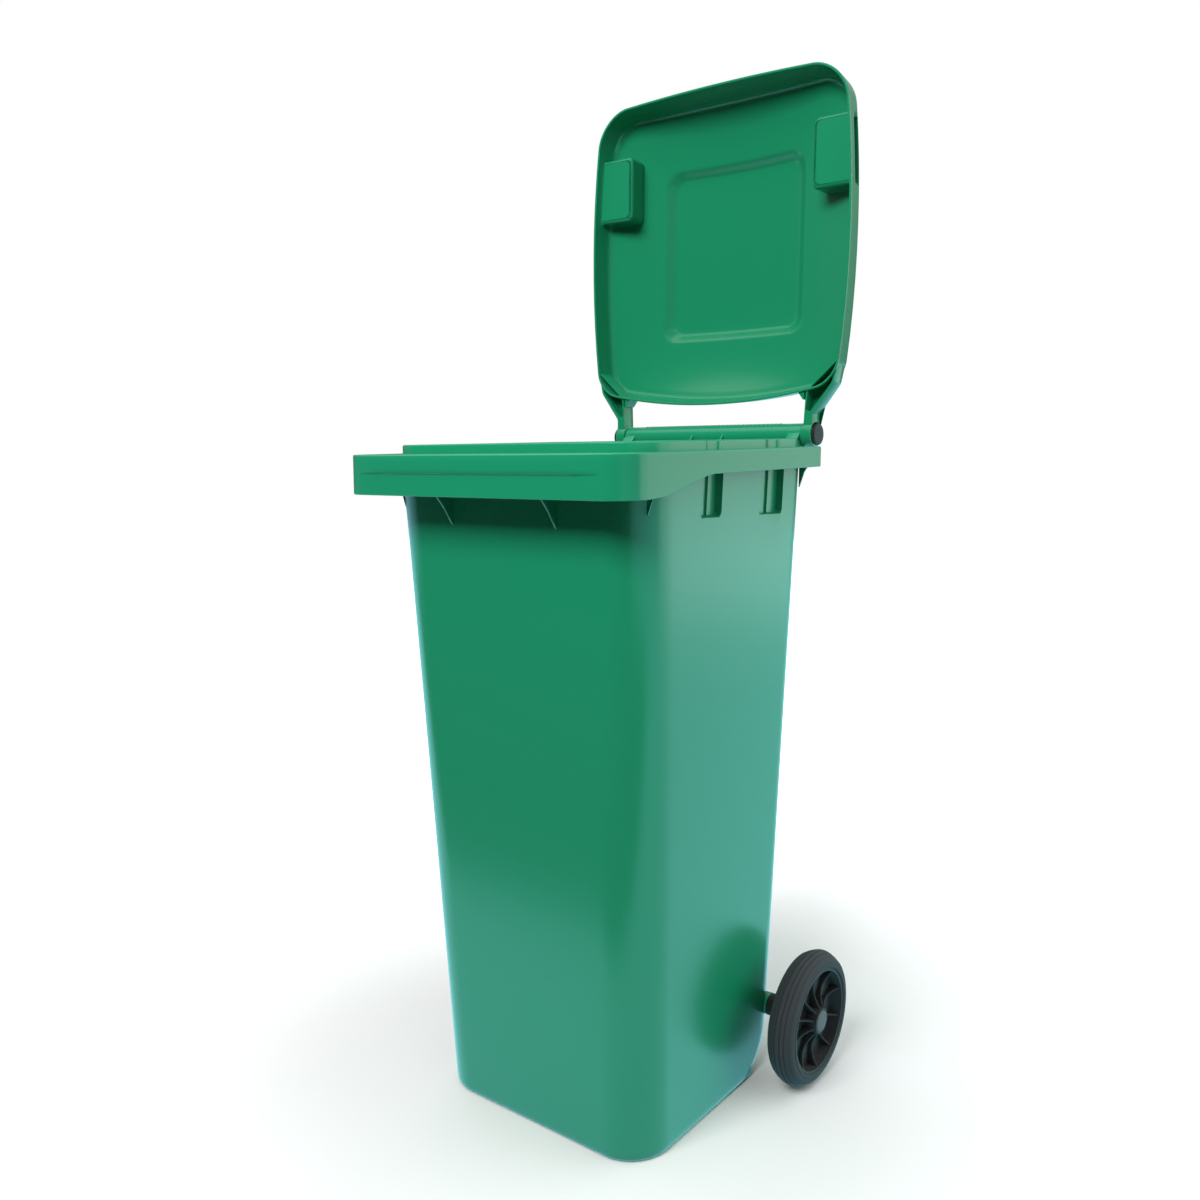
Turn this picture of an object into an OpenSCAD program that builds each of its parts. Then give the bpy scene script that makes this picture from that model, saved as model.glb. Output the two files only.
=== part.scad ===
// Two-wheeled household waste bin with a hinged lid, a rear handle bar and a pair of 200 mm wheels.
// +Z is up, the front faces -Y, the handle and the wheels are at +Y.
// The origin is the middle of the body's base, on the floor.

/* [Body] */
// Width of the body at the floor
base_w = 376; // [330:1:452]
// Depth of the body at the floor
base_d = 347; // [300:1:417]
// Width of the body under the rim
top_w = 445; // [425:1:500]
// How far the front wall leans forward between the floor and the rim
front_flare = 57; // [20:1:80]
// How far the rear wall leans back between the floor and the rim
rear_flare = 8; // [0:1:20]
// Height of the rim's top at the rear
rim_h = 954; // [795:1:1100]
// Thickness of the moulded wall
wall = 4; // [3:0.5:6]
// Radius of the upright front edges
front_r = 64; // [40:1:90]
// Radius of the upright rear edges
rear_r = 40; // [20:1:60]
// Radius of the rounded heel, where the rear wall meets the base
heel_r = 75; // [40:1:95]
// Small radius round the rest of the base
foot_r = 9; // [4:1:16]

/* [Rim] */
// Slope of the rim and of the closed lid, falling to the front, in degrees
rim_slope = 2.4; // [0:0.1:5]
// How far the rim stands out from the side walls
rim_side = 20; // [14:1:30]
// How far the rim stands out from the front wall
rim_front = 54; // [35:1:70]
// Thickness of the rim's top and skirt
rim_t = 3.5; // [2.5:0.5:5]
// Depth of the skirt along the front
skirt_front = 53; // [40:1:70]
// Depth of the skirt along the sides
skirt_side = 29; // [20:1:40]
// Radius of the rim's front corners
rim_r = 42; // [25:1:60]
// Height of the collar above the rim
collar_h = 12; // [8:1:20]
// Width of the front flute on each side wall
flute_w_front = 50; // [30:1:70]
// Width of the rear flute on each side wall
flute_w_rear = 64; // [30:1:70]
// Depth of the flutes
flute_depth = 9; // [5:1:12]
// Distance between the flutes' middles
flute_pitch = 153; // [120:1:180]
// Length of the flutes, from the rim down
flute_l = 92; // [60:1:140]

/* [Handle and hinge] */
// How far the hinge axis stands behind the rear wall's top
hinge_back = 91; // [75:1:110]
// Height of the hinge axis above the rim's rear edge
hinge_up = 21; // [19:1:30]
// Diameter of the handle bar
bar_d = 34; // [28:1:38]
// Length of the handle bar
bar_l = 336; // [300:1:350]
// Thickness of each handle bracket
bracket_t = 22; // [12:1:30]
// Distance from the middle to each centre web under the handle bar
web_x = 29; // [20:1:60]
// Distance from one grip ridge of the handle bar to the next
ridge_pitch = 7.5; // [6:0.5:12]
// Height of the grip ridges
ridge_h = 0.8; // [0.4:0.1:1.2]
// Diameter of the hinge pins
pin_d = 16; // [12:0.5:20]
// Diameter of the hinge pins' round heads
pin_head_d = 33; // [24:1:36]
// How deep each hinge pin sits in the handle bar
pin_grip = 45; // [30:1:80]

/* [Lid] */
// How far the closed lid's sides stay inside the rim, at their widest
lid_side_in = 2.5; // [0:0.5:8]
// How far the closed lid's front corners stay behind the rim's front
lid_front_in = 21; // [10:1:30]
// How far the closed lid's rear corners reach behind the rim
lid_rear_out = 16; // [5:1:20]
// How much each side bows outwards
side_bow = 16; // [4:1:20]
// How much the edge by the hinge bows outwards
hinge_bow = 26; // [10:1:28]
// How much the front edge bows outwards
front_bow = 7; // [2:1:16]
// Thickness of the lid's wall
lid_t = 3.5; // [2.5:0.5:5]
// Height of the dome above the lid's shoulder
dome_h = 44; // [20:1:60]
// Height of the step up to the raised panel
panel_step = 9; // [4:1:14]
// Width of the border between the raised panel and each side of the lid
panel_side = 106; // [90:1:130]
// Width of the border between the raised panel and the lid's front corners
panel_front = 91; // [80:1:120]
// Width of the border between the raised panel and the lid's rear corners
panel_rear = 85; // [70:1:120]
// Length of each grip pocket, along the lid's side
grip_l = 104; // [80:1:130]
// Width of each grip pocket, inwards from the lid's side
grip_w = 66; // [50:1:80]
// Distance from the lid's front corners back to the middle of each grip pocket
grip_back = 122; // [110:1:150]
// How far the lid stands open from the horizontal, in degrees
lid_open = 90.4; // [80:0.1:100]

/* [Wheels] */
// Diameter of the wheels over the tyres
wheel_d = 200; // [180:1:250]
// Width of the tyres
tyre_w = 44; // [36:1:50]
// Thickness of the tyres
tyre_t = 22; // [16:1:30]
// Gap between each tyre and the body's side at the floor
wheel_gap = 47.8; // [35:0.1:60]
// Diameter of the axle
axle_d = 20; // [16:0.5:25]
// How far the axle lies in front of the rear wall's foot
axle_in = 13.7; // [8:0.1:30]
// Outside diameter of the sleeves on the axle
sleeve_d = 33; // [28:1:38]
// How far the hub caps reach out round the axle
cap_over = 5.6; // [4.5:0.1:8]
// Number of ribs in each wheel
ribs = 10; // [5:1:16]

/* [Fits] */
// Radial clearance of a bore that turns on a pin or on the axle
running = 0.05; // [0.02:0.01:0.1]
// Gap beside a part that turns
side_gap = 0.6; // [0.3:0.1:1]
// Gap between the rim and the closed lid
lid_seat_gap = 0.5; // [0.3:0.1:2]

/* [Hidden] */

GREEN = "#12894f";
BLACK = "#1e2021";
RUBBER = "#34383a";
GREY = "#63686a";
STEEL = "#b4b8bb";

// Straight pieces in each rounded corner of an outline
ARC_STEPS = 7;
// Longer than the whole bin, for cuts that go right through
far = 2000;
// Hair's breadth by which joined shapes run into each other
eps = 0.01;

// ---- helpers -------------------------------------------------------------------------------

function mix(a, b, t) = a + (b - a) * t;

// Points of an arc, both ends included.
function arc(cx, cy, r, from, to, steps = ARC_STEPS) =
    [for (i = [0:steps]) let (a = mix(from, to, i / steps)) [cx + r * cos(a), cy + r * sin(a)]];

// Anticlockwise rectangle from y0 to y1, half_w to each side, with its own front and rear radius.
function round_rect(half_w, y0, y1, r_front, r_rear) = concat(
    arc(half_w - r_rear, y1 - r_rear, r_rear, 0, 90),
    arc(-half_w + r_rear, y1 - r_rear, r_rear, 90, 180),
    arc(-half_w + r_front, y0 + r_front, r_front, 180, 270),
    arc(half_w - r_front, y0 + r_front, r_front, 270, 360));

function at_height(outline, z) = [for (p = outline) [p[0], p[1], z]];

// How far a quarter round of radius r stands back at height z above its lowest point.
function round_back(r, z) = z >= r ? 0 : r - sqrt(r * r - (r - z) * (r - z));

// Skin over a stack of rings that all have the same number of points.
module loft(rings) {
    n = len(rings[0]);
    points = [for (ring = rings) each ring];
    sides = [for (k = [0:len(rings) - 2], j = [0:n - 1])
        let (a = k * n + j, b = k * n + (j + 1) % n) each [[a, a + n, b + n], [a, b + n, b]]];
    bottom = [for (j = [0:n - 1]) j];
    top = [for (j = [n - 1:-1:0]) (len(rings) - 1) * n + j];
    polyhedron(points, concat(sides, [bottom, top]), convexity = 6);
}

// Cylinder along X from x0 to x1.
module rod(r, x0, x1) {
    translate([x0, 0, 0]) rotate([0, 90, 0]) cylinder(r = r, h = x1 - x0, $fn = 64);
}

// Children on the +X side (side = 1) or mirrored onto the -X side (side = -1).
module on_side(side) {
    if (side > 0) children();
    else mirror([1, 0, 0]) children();
}

// Profile in the YZ plane, given as [y, z] points, as thick as t along X and centred on X.
module yz_plate(points, t) {
    rotate([90, 0, 90]) translate([0, 0, -t / 2]) linear_extrude(t) polygon(points);
}

// ---- body ----------------------------------------------------------------------------------

base_front = -base_d / 2;
base_rear = base_d / 2;
rim_back = base_rear + rear_flare;
rim_half = top_w / 2 + rim_side;
rim_l = base_d + front_flare + rear_flare + rim_front;
hinge_y = rim_back + hinge_back;
hinge_z = rim_h + hinge_up;
axle_z = wheel_d / 2;
axle_y = base_rear - axle_in;
collar_in = 2;
// The wall gets thicker towards the collar, over the neck of the body
collar_wall = wall + 1.5;
neck = 60;

function body_half(z) = mix(base_w, top_w, z / rim_h) / 2;
function body_front(z) = base_front - front_flare * z / rim_h;
function body_rear(z) = base_rear + rear_flare * z / rim_h;

// Plan outline of the body at height z, drawn in by inset, with the heel and the foot rounded.
function body_ring(z, inset = 0, foot = foot_r, heel = heel_r) = let (f = round_back(foot, z) + inset)
    at_height(round_rect(body_half(z) - f, body_front(z) + f,
        body_rear(z) - max(round_back(heel, z), round_back(foot, z)) - inset,
        front_r - f, rear_r - f), z);

heel_levels = [for (a = [15:15:90]) heel_r * (1 - cos(a))];
foot_levels = [for (a = [0, 25, 50]) foot_r * (1 - cos(a))];

// The outside of the body, which runs on to the collar's top and is cut off there.
module body_envelope() {
    loft(concat([for (z = foot_levels) body_ring(z)], [for (z = heel_levels) body_ring(z)],
        [body_ring(rim_h + collar_h + 8)]));
}

// The axle housing is a recess across the rear of the base, closed off from the inside. It reaches
// housing_front ahead of the axle and housing_over above it, and its roof starts with a 45 degree eave.
housing_front = 32;
housing_over = 54;
housing_y = axle_y - housing_front;
housing_h = axle_z + housing_over;
housing_half = 150;
housing_roof = 40;
housing_pitch = 0.4;
housing_rib_t = 5;
housing_rib_x = 72;
core_wall = wall + 1;
// The axle's bosses end just outside the wall, so that the sleeves run against a flat.
boss_proud = 0.5;
boss_x = body_half(axle_z + sleeve_d / 2) + boss_proud;

function housing_profile(grow) = [
    [housing_y - grow, -far],
    [housing_y - grow, housing_h - housing_roof + grow],
    [housing_y - grow + housing_roof, housing_h + grow],
    [far, housing_h + grow + (far - housing_y) * housing_pitch],
    [far, -far]];

// Space inside the body, down to the floor plate and round the axle housing.
module body_cavity() {
    difference() {
        loft([body_ring(wall, wall, 0, 0), body_ring(rim_h - neck, wall, 0, 0),
            body_ring(rim_h + neck, collar_wall + collar_in, 0, 0)]);
        yz_plate(housing_profile(wall), far);
    }
}

// Hollows of the axle housing: the recess between the cheeks and the cores inside the cheeks.
module housing_hollows() {
    intersection() {
        yz_plate(housing_profile(0), far);
        union() {
            difference() {
                cube([2 * housing_half, far, far], center = true);
                for (s = [-1, 1]) translate([s * housing_rib_x, 0, 0])
                    cube([housing_rib_t, far, far], center = true);
            }
            loft([body_ring(0, wall + foot_r, 0, 0), body_ring(heel_r, core_wall, 0, 0),
                body_ring(housing_h * 2, core_wall, 0, 0)]);
        }
    }
}

// Walls that the hollows leave standing, from the recess to the cores.
module housing_walls() {
    intersection() {
        body_envelope();
        yz_plate(housing_profile(eps), far);
        for (x = [-housing_half, -housing_rib_x, housing_rib_x, housing_half])
            translate([x, 0, 0]) cube([housing_rib_t, far, far], center = true);
    }
}

// Moves its children into the plane of the rim, where y = 0 is the rear and z = 0 is the top.
module on_rim() {
    translate([0, rim_back, rim_h]) rotate([rim_slope, 0, 0]) children();
}

rim_corner = 4;
// The skirt gets deeper from 173 to 65 behind the front.
skirt_slope_from = rim_l - 173;
skirt_slope_to = rim_l - 65;
// The upper band of the front skirt stands a little proud.
lip_h = 24;
lip_out = 1.8;

function rim_outline(inset) = round_rect(rim_half - inset, -rim_l + inset, 0, rim_r - inset, rim_corner);

module rim_skirt_cut() {
    yz_plate([[far, -far], [far, -skirt_side], [-skirt_slope_from, -skirt_side],
        [-skirt_slope_to, -skirt_front], [-skirt_slope_to, -far]], far);
}

module rim() {
    on_rim() {
        translate([0, 0, -rim_t]) linear_extrude(rim_t) polygon(rim_outline(0));
        difference() {
            translate([0, 0, -skirt_front]) linear_extrude(skirt_front) polygon(rim_outline(0));
            translate([0, 0, -skirt_front - 1]) linear_extrude(skirt_front + 2)
                polygon(round_rect(rim_half - rim_t, -rim_l + rim_t, far, rim_r - rim_t, rim_corner));
            rim_skirt_cut();
        }
        translate([0, -rim_l - lip_out / 2 + eps, -lip_h / 2])
            cube([2 * (rim_half - rim_r), lip_out, lip_h], center = true);
        collar();
    }
}

collar_half = top_w / 2 - collar_in;
notch_w = 27;
notch_d = 1.6;

module collar() {
    difference() {
        translate([0, 0, -rim_t]) linear_extrude(rim_t + collar_h)
            polygon(round_rect(collar_half, rim_front - rim_l + collar_in, -collar_in, front_r, rear_r));
        for (s = [-1, 1], y = [-1, 1])
            translate([s * collar_half, -rim_back + y * flute_pitch / 2 - notch_d, collar_h / 2 + eps])
                cube([2 * notch_d, notch_w, collar_h], center = true);
    }
}

// Upright flutes pressed into each side wall under the rim; each keeps a thin rib in its middle.
flute_rib_t = 2.5;
flute_r = 8;
flute_over = 4;

module flute_bar(s, y, w, depth, drop) {
    z0 = rim_h - rim_t - flute_l;
    translate([s * body_half(z0), y, z0 - drop]) rotate([0, 90, 0])
        linear_extrude(2 * depth, center = true)
        polygon(concat(arc(-flute_r, w / 2 - flute_r, flute_r, 0, 90),
            [[-flute_l - flute_over, w / 2], [-flute_l - flute_over, -w / 2]],
            arc(-flute_r, -w / 2 + flute_r, flute_r, 270, 360)));
}

module flutes(grow = 0) {
    for (s = [-1, 1]) {
        flute_bar(s, -flute_pitch / 2, flute_w_front + 2 * grow, flute_depth + grow, grow);
        flute_bar(s, flute_pitch / 2, flute_w_rear + 2 * grow, flute_depth + grow, grow);
    }
}

module flute_ribs() {
    intersection() {
        body_envelope();
        for (s = [-1, 1], y = [-1, 1]) flute_bar(s, y * flute_pitch / 2, flute_rib_t + 2 * flute_r,
            flute_depth, 0);
        for (y = [-1, 1]) translate([0, y * flute_pitch / 2, 0])
            cube([far, flute_rib_t, far], center = true);
    }
}

// Gussets between the rim and the walls. Their tops sink into the rim.
gusset_t = 3;
gusset_x = 90;
gusset_drop = 34;
gusset_foot = [12, 4];
gusset_sink = 1;
// Each side wall has one gusset near the front and one near the rear.
side_drop_front = 72;
side_drop_rear = 56;
side_lip = 18;

module front_gusset(x) {
    y_wall = body_front(rim_h - skirt_front) + wall / 2;
    y_out = rim_back - rim_l + rim_t + gusset_sink;
    z_rim = rim_h - rim_l * sin(rim_slope) - gusset_sink;
    translate([x, 0, 0]) yz_plate([[y_wall, z_rim - skirt_front - gusset_drop], [y_wall, z_rim],
        [y_out, z_rim], [y_out, z_rim - skirt_front / 2],
        [y_wall - gusset_foot[0], z_rim - skirt_front - gusset_drop + gusset_foot[1]]], gusset_t);
}

module side_gusset(s, y, drop) {
    x_wall = body_half(rim_h - drop) - wall / 2;
    z_rim = rim_h - (rim_back - y) * sin(rim_slope) - gusset_sink;
    x_out = rim_half - rim_t / 2;
    translate([0, y, 0]) rotate([90, 0, 0]) linear_extrude(gusset_t, center = true)
        polygon([[s * x_wall, z_rim - drop], [s * x_wall, z_rim], [s * x_out, z_rim],
            [s * x_out, z_rim - side_lip]]);
}

module gussets() {
    for (x = [-gusset_x, gusset_x]) front_gusset(x);
    for (s = [-1, 1]) {
        side_gusset(s, body_front(rim_h) + front_r * 0.5, side_drop_front);
        side_gusset(s, rim_back - rear_r * 0.55, side_drop_rear);
    }
}

// Handle bar, the brackets that hold it and the webs behind its middle.
bar_r = bar_d / 2;
pin_r = pin_d / 2;
ridge_x = bar_l / 2 - 36;
ridge_root = 1;
// Widths of a ridge at its root, at the bar's surface and at its flat top
ridge_w = [5, 4, 1.8];
bracket_low = 86;
bracket_top = 10;
bracket_nose = 16;
bracket_sink = 0.4;

// Half of the bar with its ridges, which turns about the bar's axis.
function ridge_at(x) = [[bar_r - ridge_root, x - ridge_w[0] / 2], [bar_r, x - ridge_w[1] / 2],
    [bar_r + ridge_h, x - ridge_w[2] / 2], [bar_r + ridge_h, x + ridge_w[2] / 2],
    [bar_r, x + ridge_w[1] / 2], [bar_r - ridge_root, x + ridge_w[0] / 2]];
function ridge_profile() = concat([[0, -ridge_x]],
    [for (x = [-ridge_x + ridge_w[0] / 2:ridge_pitch:ridge_x - ridge_w[0] / 2]) each ridge_at(x)],
    [[bar_r - ridge_root, ridge_x], [0, ridge_x]]);

module grip_ridges() {
    intersection() {
        rotate([0, 90, 0]) rotate_extrude($fn = 64) polygon(ridge_profile());
        rotate([40, 0, 0]) translate([0, bar_r, 0])
            cube([far, 2 * bar_r, 4 * bar_r], center = true);
    }
}

// Side view of a bracket, measured from the hinge axis.
module bracket(x, t) {
    reach = hinge_back + wall / 2;
    translate([x, hinge_y, hinge_z]) yz_plate(concat(
        arc(0, 0, bar_r - bracket_sink, -60, 100, ARC_STEPS + 1),
        [[-bar_r * 0.7, bar_r - 4], [-bar_r - bracket_nose, -hinge_up - bracket_top],
            [-reach, -hinge_up - bracket_top], [-reach, -hinge_up - bracket_low]]), t);
}

module handle() {
    translate([0, hinge_y, hinge_z]) {
        rod(bar_r, -bar_l / 2, bar_l / 2);
        grip_ridges();
    }
    for (s = [-1, 1]) {
        bracket(s * (bar_l - bracket_t) / 2, bracket_t);
        bracket(s * web_x, rim_t);
    }
}

module bin_body() {
    color(GREEN) difference() {
        union() {
            difference() {
                union() {
                    body_envelope();
                    rim();
                    gussets();
                }
                // Everything above the collar goes.
                on_rim() translate([0, 0, far / 2 + collar_h]) cube([far, far, far], center = true);
                difference() {
                    flutes();
                    on_rim() translate([0, 0, far / 2 - rim_t]) cube([far, far, far], center = true);
                }
                difference() {
                    body_cavity();
                    flutes(wall);
                }
                housing_hollows();
            }
            housing_walls();
            flute_ribs();
            handle();
            for (s = [-1, 1]) on_side(s) translate([0, axle_y, axle_z])
                rod(sleeve_d / 2, housing_half, boss_x);
        }
        translate([0, axle_y, axle_z]) rod(axle_d / 2 + running, -far, far);
        translate([0, hinge_y, hinge_z]) rod(pin_r, -far, far);
    }
}

// ---- lid -----------------------------------------------------------------------------------

// The lid is drawn lying flat: the hinge axis is the X axis, the front is at -Y, the top is at +Z.
// lid_skirt is how far its free edge lies below the hinge axis.
lid_skirt = hinge_up * cos(rim_slope) - hinge_back * sin(rim_slope) - lid_seat_gap;
lid_w = 2 * (rim_half - lid_side_in);
lid_gap = hinge_back - lid_rear_out;
lid_l = rim_l + lid_rear_out - lid_front_in;
lid_mid = lid_gap + lid_l / 2;
lid_r_hinge = 34;
lid_r_front = 54;
// The side wall leans in by side_draft up to its top, and a round leads from there to the dome's edge.
side_draft = 3;
shoulder_z = 20;
side_top = shoulder_z - 6;
shoulder_r = 12;
shoulder_rise = 8;
dome_past = 30;
panel_r_front = 28;
panel_r_rear = 24;
panel_slope = 18;
// Points between the corners on each side of a lid outline
SIDE_STEPS = 4;

function side_pts(a, b) = [for (i = [1:SIDE_STEPS]) mix(a, b, i / (SIDE_STEPS + 1))];
function round_side(pts) = let (n = ARC_STEPS + 1) [for (k = [0:3]) each concat(
    [for (i = [0:n - 1]) pts[k * n + i]], side_pts(pts[k * n + n - 1], pts[((k + 1) % 4) * n]))];

// Bows the sides and ends of a plan outline that is centred on the lid.
function bow(p, half_w, half_l) = let (u = p[1] / half_l, w = p[0] / half_w)
    [p[0] + (p[0] > 0 ? 1 : -1) * side_bow * (1 - u * u) * min(1, abs(w)),
        p[1] + (p[1] > 0 ? hinge_bow : -front_bow) * (1 - min(1, w * w)) * abs(u)];

function lid_outline(inset) = let (half_w = lid_w / 2 - side_bow, half_l = lid_l / 2)
    [for (p = round_side(round_rect(half_w - inset, -half_l + inset, half_l - inset,
        lid_r_front - inset * 0.6, lid_r_hinge - inset * 0.6)))
        let (b = bow(p, half_w, half_l)) [b[0], b[1] - lid_mid]];

// Plan outline of the raised panel.
function panel_outline(inset) = round_side(round_rect(lid_w / 2 - panel_side - inset,
    -lid_gap - lid_l + panel_front + inset, -lid_gap - panel_rear - inset, panel_r_front, panel_r_rear));

// Height of the domed top at a point of the plan.
function dome(p) = let (w = p[0] / (lid_w / 2), u = (p[1] + lid_mid) / (lid_l / 2 + dome_past))
    shoulder_z + dome_h * max(0, 1 - w * w) * max(0, 1 - pow(u, 4));

function between(a, b, t) = [for (i = [0:len(a) - 1]) mix(a[i], b[i], t)];
function on_dome(outline, lift) = [for (p = outline) [p[0], p[1], dome(p) + lift]];
function shrink(outline, k) = [for (p = outline) [p[0] * k, mix(-lid_mid, p[1], k)]];

// Rings of the lid's outer surface (skin = 0) or of its inner surface (skin = lid_t), edge first.
function lid_rings(skin) = let (edge = lid_outline(side_draft + shoulder_r + skin),
    panel = panel_outline(0), raised = panel_outline(panel_slope))
    concat(
        [at_height(lid_outline(skin), -lid_skirt),
            at_height(lid_outline(skin + side_draft), side_top - skin)],
        [for (a = [35, 65]) at_height(lid_outline(skin + side_draft + shoulder_r * (1 - cos(a))),
            side_top - skin + shoulder_rise * sin(a))],
        [on_dome(edge, -skin)],
        [for (t = [0.3, 0.65, 1]) on_dome(between(edge, panel, t), -skin)],
        [on_dome(raised, panel_step - skin)],
        [for (k = [0.6, 0.25]) on_dome(shrink(raised, k), panel_step - skin)]);

function reversed(list) = [for (i = [len(list) - 1:-1:0]) list[i]];

module lid_shell() {
    loft(concat(reversed(lid_rings(lid_t)), lid_rings(0)));
}

module lid_solid() {
    loft(lid_rings(0));
}

// Grip pockets: a box inside each side, open to the outside through a slot in the side wall. With the
// lid shut, each box stays grip_clear above the collar.
grip_at = lid_gap + lid_l - grip_back;
grip_clear = 1.5;
grip_floor = collar_h + grip_clear + lid_t - lid_skirt - lid_seat_gap;
grip_top = shoulder_z + dome_h + panel_step;
grip_slot_h = 20;
grip_slot_in = 5;

module grip_box(grow, top) {
    for (s = [-1, 1])
        translate([s * (lid_w / 2 - grip_w / 2), -grip_at, (top + grip_floor - grow) / 2])
            cube([grip_w + 2 * grow, grip_l + 2 * grow, top - grip_floor + grow], center = true);
}

module grip_pockets() {
    intersection() {
        lid_solid();
        difference() {
            grip_box(lid_t, grip_top);
            grip_box(0, grip_top + 1);
        }
    }
}

module grip_slots() {
    r = grip_slot_h / 2 - 1;
    half = grip_l / 2 - grip_slot_in;
    for (s = [-1, 1]) translate([s * lid_w / 2, -grip_at, grip_floor + grip_slot_h / 2 + eps])
        rotate([90, 0, 90]) linear_extrude(2 * (side_draft + side_bow + lid_t), center = true)
        polygon(round_rect(half, -grip_slot_h / 2, grip_slot_h / 2, r, r));
}

// Arms: an inner plate and a slanting outer web, joined by a skin on top, that end in a boss round the
// pin. Each arm runs on into the lid's corner, where its tip lies inside the lid's wall.
arm_x = bar_l / 2 + side_gap;
arm_w = 17.5;
boss_r = 19.5;
arm_low = -14;
arm_high = 13;
arm_t = 4;
arm_step = 2;
arm_neck = -30;
arm_tip_x = mix(arm_x, lid_w / 2, 0.62);
arm_tip_y = -lid_gap - 44;
arm_corner_y = -lid_gap - 26;
arm_flank_x = lid_w / 2 - 20;
arm_corner_x = arm_flank_x + 6;

function arm_outline() = [[arm_x + arm_step, 0], [arm_x + arm_step, -lid_gap + arm_low],
    [arm_tip_x, arm_tip_y], [arm_corner_x, arm_corner_y], [arm_flank_x, -lid_gap],
    [arm_x + arm_w, arm_neck], [arm_x + arm_w, 0]];
function arm_pocket() = let (x0 = arm_x + arm_step + arm_t) [[x0, arm_neck - arm_t],
    [x0, -lid_gap + arm_low], [arm_tip_x, arm_tip_y], [arm_corner_x - arm_t, arm_corner_y],
    [arm_flank_x - arm_t, -lid_gap - 1], [arm_x + arm_w - 3, arm_neck - arm_t]];

module arm() {
    difference() {
        union() {
            difference() {
                translate([0, 0, arm_low]) linear_extrude(arm_high - arm_low) polygon(arm_outline());
                translate([0, 0, arm_low - 1]) linear_extrude(arm_high - arm_low - arm_t + 1)
                    polygon(arm_pocket());
            }
            rod(boss_r, arm_x, arm_x + arm_w);
        }
        // Nothing of the arm stays in the lid's hollow.
        loft([at_height(lid_outline(lid_t + 0.2), -lid_skirt - 1),
            at_height(lid_outline(lid_t + side_draft), side_top - lid_t),
            at_height(lid_outline(lid_t + side_draft + shoulder_rise), shoulder_z - 1 - lid_t)]);
    }
}

module lid() {
    color(GREEN) translate([0, hinge_y, hinge_z]) rotate([-lid_open, 0, 0]) difference() {
        union() {
            lid_shell();
            grip_pockets();
            for (s = [-1, 1]) on_side(s) arm();
        }
        grip_slots();
        rod(pin_r + running, -far, far);
    }
}

// ---- hinge pins ----------------------------------------------------------------------------

pin_head_x = arm_x + arm_w + side_gap;
pin_head_t = 5.5;
pin_chamfer = 1.5;
pin_lead = 2;
pin_end_x = bar_l / 2 - pin_grip;
pin_face_x = pin_head_x + pin_head_t;

module hinge_pin(side) {
    color(BLACK) on_side(side) translate([0, hinge_y, hinge_z]) rotate([0, 90, 0])
        rotate_extrude($fn = 64) polygon([
            [0, pin_end_x], [pin_r - pin_lead / 2, pin_end_x], [pin_r, pin_end_x + pin_lead],
            [pin_r, pin_head_x], [pin_head_d / 2, pin_head_x],
            [pin_head_d / 2, pin_face_x - pin_chamfer],
            [pin_head_d / 2 - pin_chamfer, pin_face_x], [0, pin_face_x]]);
}

module hinge_pin_left() { hinge_pin(-1); }
module hinge_pin_right() { hinge_pin(1); }

// ---- axle and wheels -----------------------------------------------------------------------

axle_r = axle_d / 2;
wheel_x = base_w / 2 + wheel_gap + tyre_w / 2;
cap_r = axle_r + cap_over;
hub_wall = 3.4;
hub_r = cap_r + hub_wall;
hub_half = tyre_w / 2 + 0.5;
hub_in = wheel_x - hub_half;
// The hub cap's socket is sunk into the hub, and its floor is where the washer runs.
hub_seat = wheel_x + 10;
washer_t = 2;
nut_t = 2;
nut_gap = 0.2;
washer_x = hub_seat + side_gap;
nut_x = washer_x + washer_t + nut_gap;
axle_end = washer_x + washer_t + nut_t + 3.5;
sleeve_gap = 0.2;
sleeve_x0 = boss_x + sleeve_gap;
sleeve_x1 = hub_in - side_gap;
seat_r = wheel_d / 2 - tyre_t;

// Children are drawn along X on the axle's own line.
module on_axle(side) {
    on_side(side) translate([0, axle_y, axle_z]) children();
}

module turned(points, fn = 96) {
    rotate([0, 90, 0]) rotate_extrude($fn = fn) polygon(points);
}

axle_chamfer = 1.2;

module axle() {
    c = axle_chamfer;
    color(STEEL) on_axle(1) turned([[0, -axle_end], [axle_r - c, -axle_end], [axle_r, c - axle_end],
        [axle_r, axle_end - c], [axle_r - c, axle_end], [0, axle_end]], 64);
}

// A sleeve keeps its wheel off the body. It steps down to a neck next to the wheel.
sleeve_chamfer = 0.8;
sleeve_neck = 12;
sleeve_step = 3;

module axle_sleeve(side) {
    r_in = axle_r + running;
    r_out = sleeve_d / 2;
    neck_r = r_out - sleeve_step;
    color(BLACK) on_axle(side) turned([[r_in, sleeve_x0], [r_out - sleeve_chamfer, sleeve_x0],
        [r_out, sleeve_x0 + sleeve_chamfer], [r_out, sleeve_x1 - sleeve_neck - 2],
        [neck_r, sleeve_x1 - sleeve_neck], [neck_r, sleeve_x1], [r_in, sleeve_x1]], 64);
}

module axle_sleeve_left() { axle_sleeve(-1); }
module axle_sleeve_right() { axle_sleeve(1); }

// Wheel centre: hub, web, ring and radial ribs whose edges dip between the hub and the ring.
ring_t = 4.5;
ring_r = seat_r - ring_t;
ring_half = tyre_w / 2 - 3;
web_t = 3;
rib_t = 2.8;
rib_dip = 11;
rib_hub = hub_half - 2;
rib_out = ring_half - 3;
rib_turn = 18;
RIB_STEPS = 8;

function rib_edge(side) = [for (i = [0:RIB_STEPS]) let (t = i / RIB_STEPS)
    [mix(hub_r - 2, ring_r + 1, t), side * (mix(rib_hub, rib_out, t) - rib_dip * sin(180 * t))]];

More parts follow.
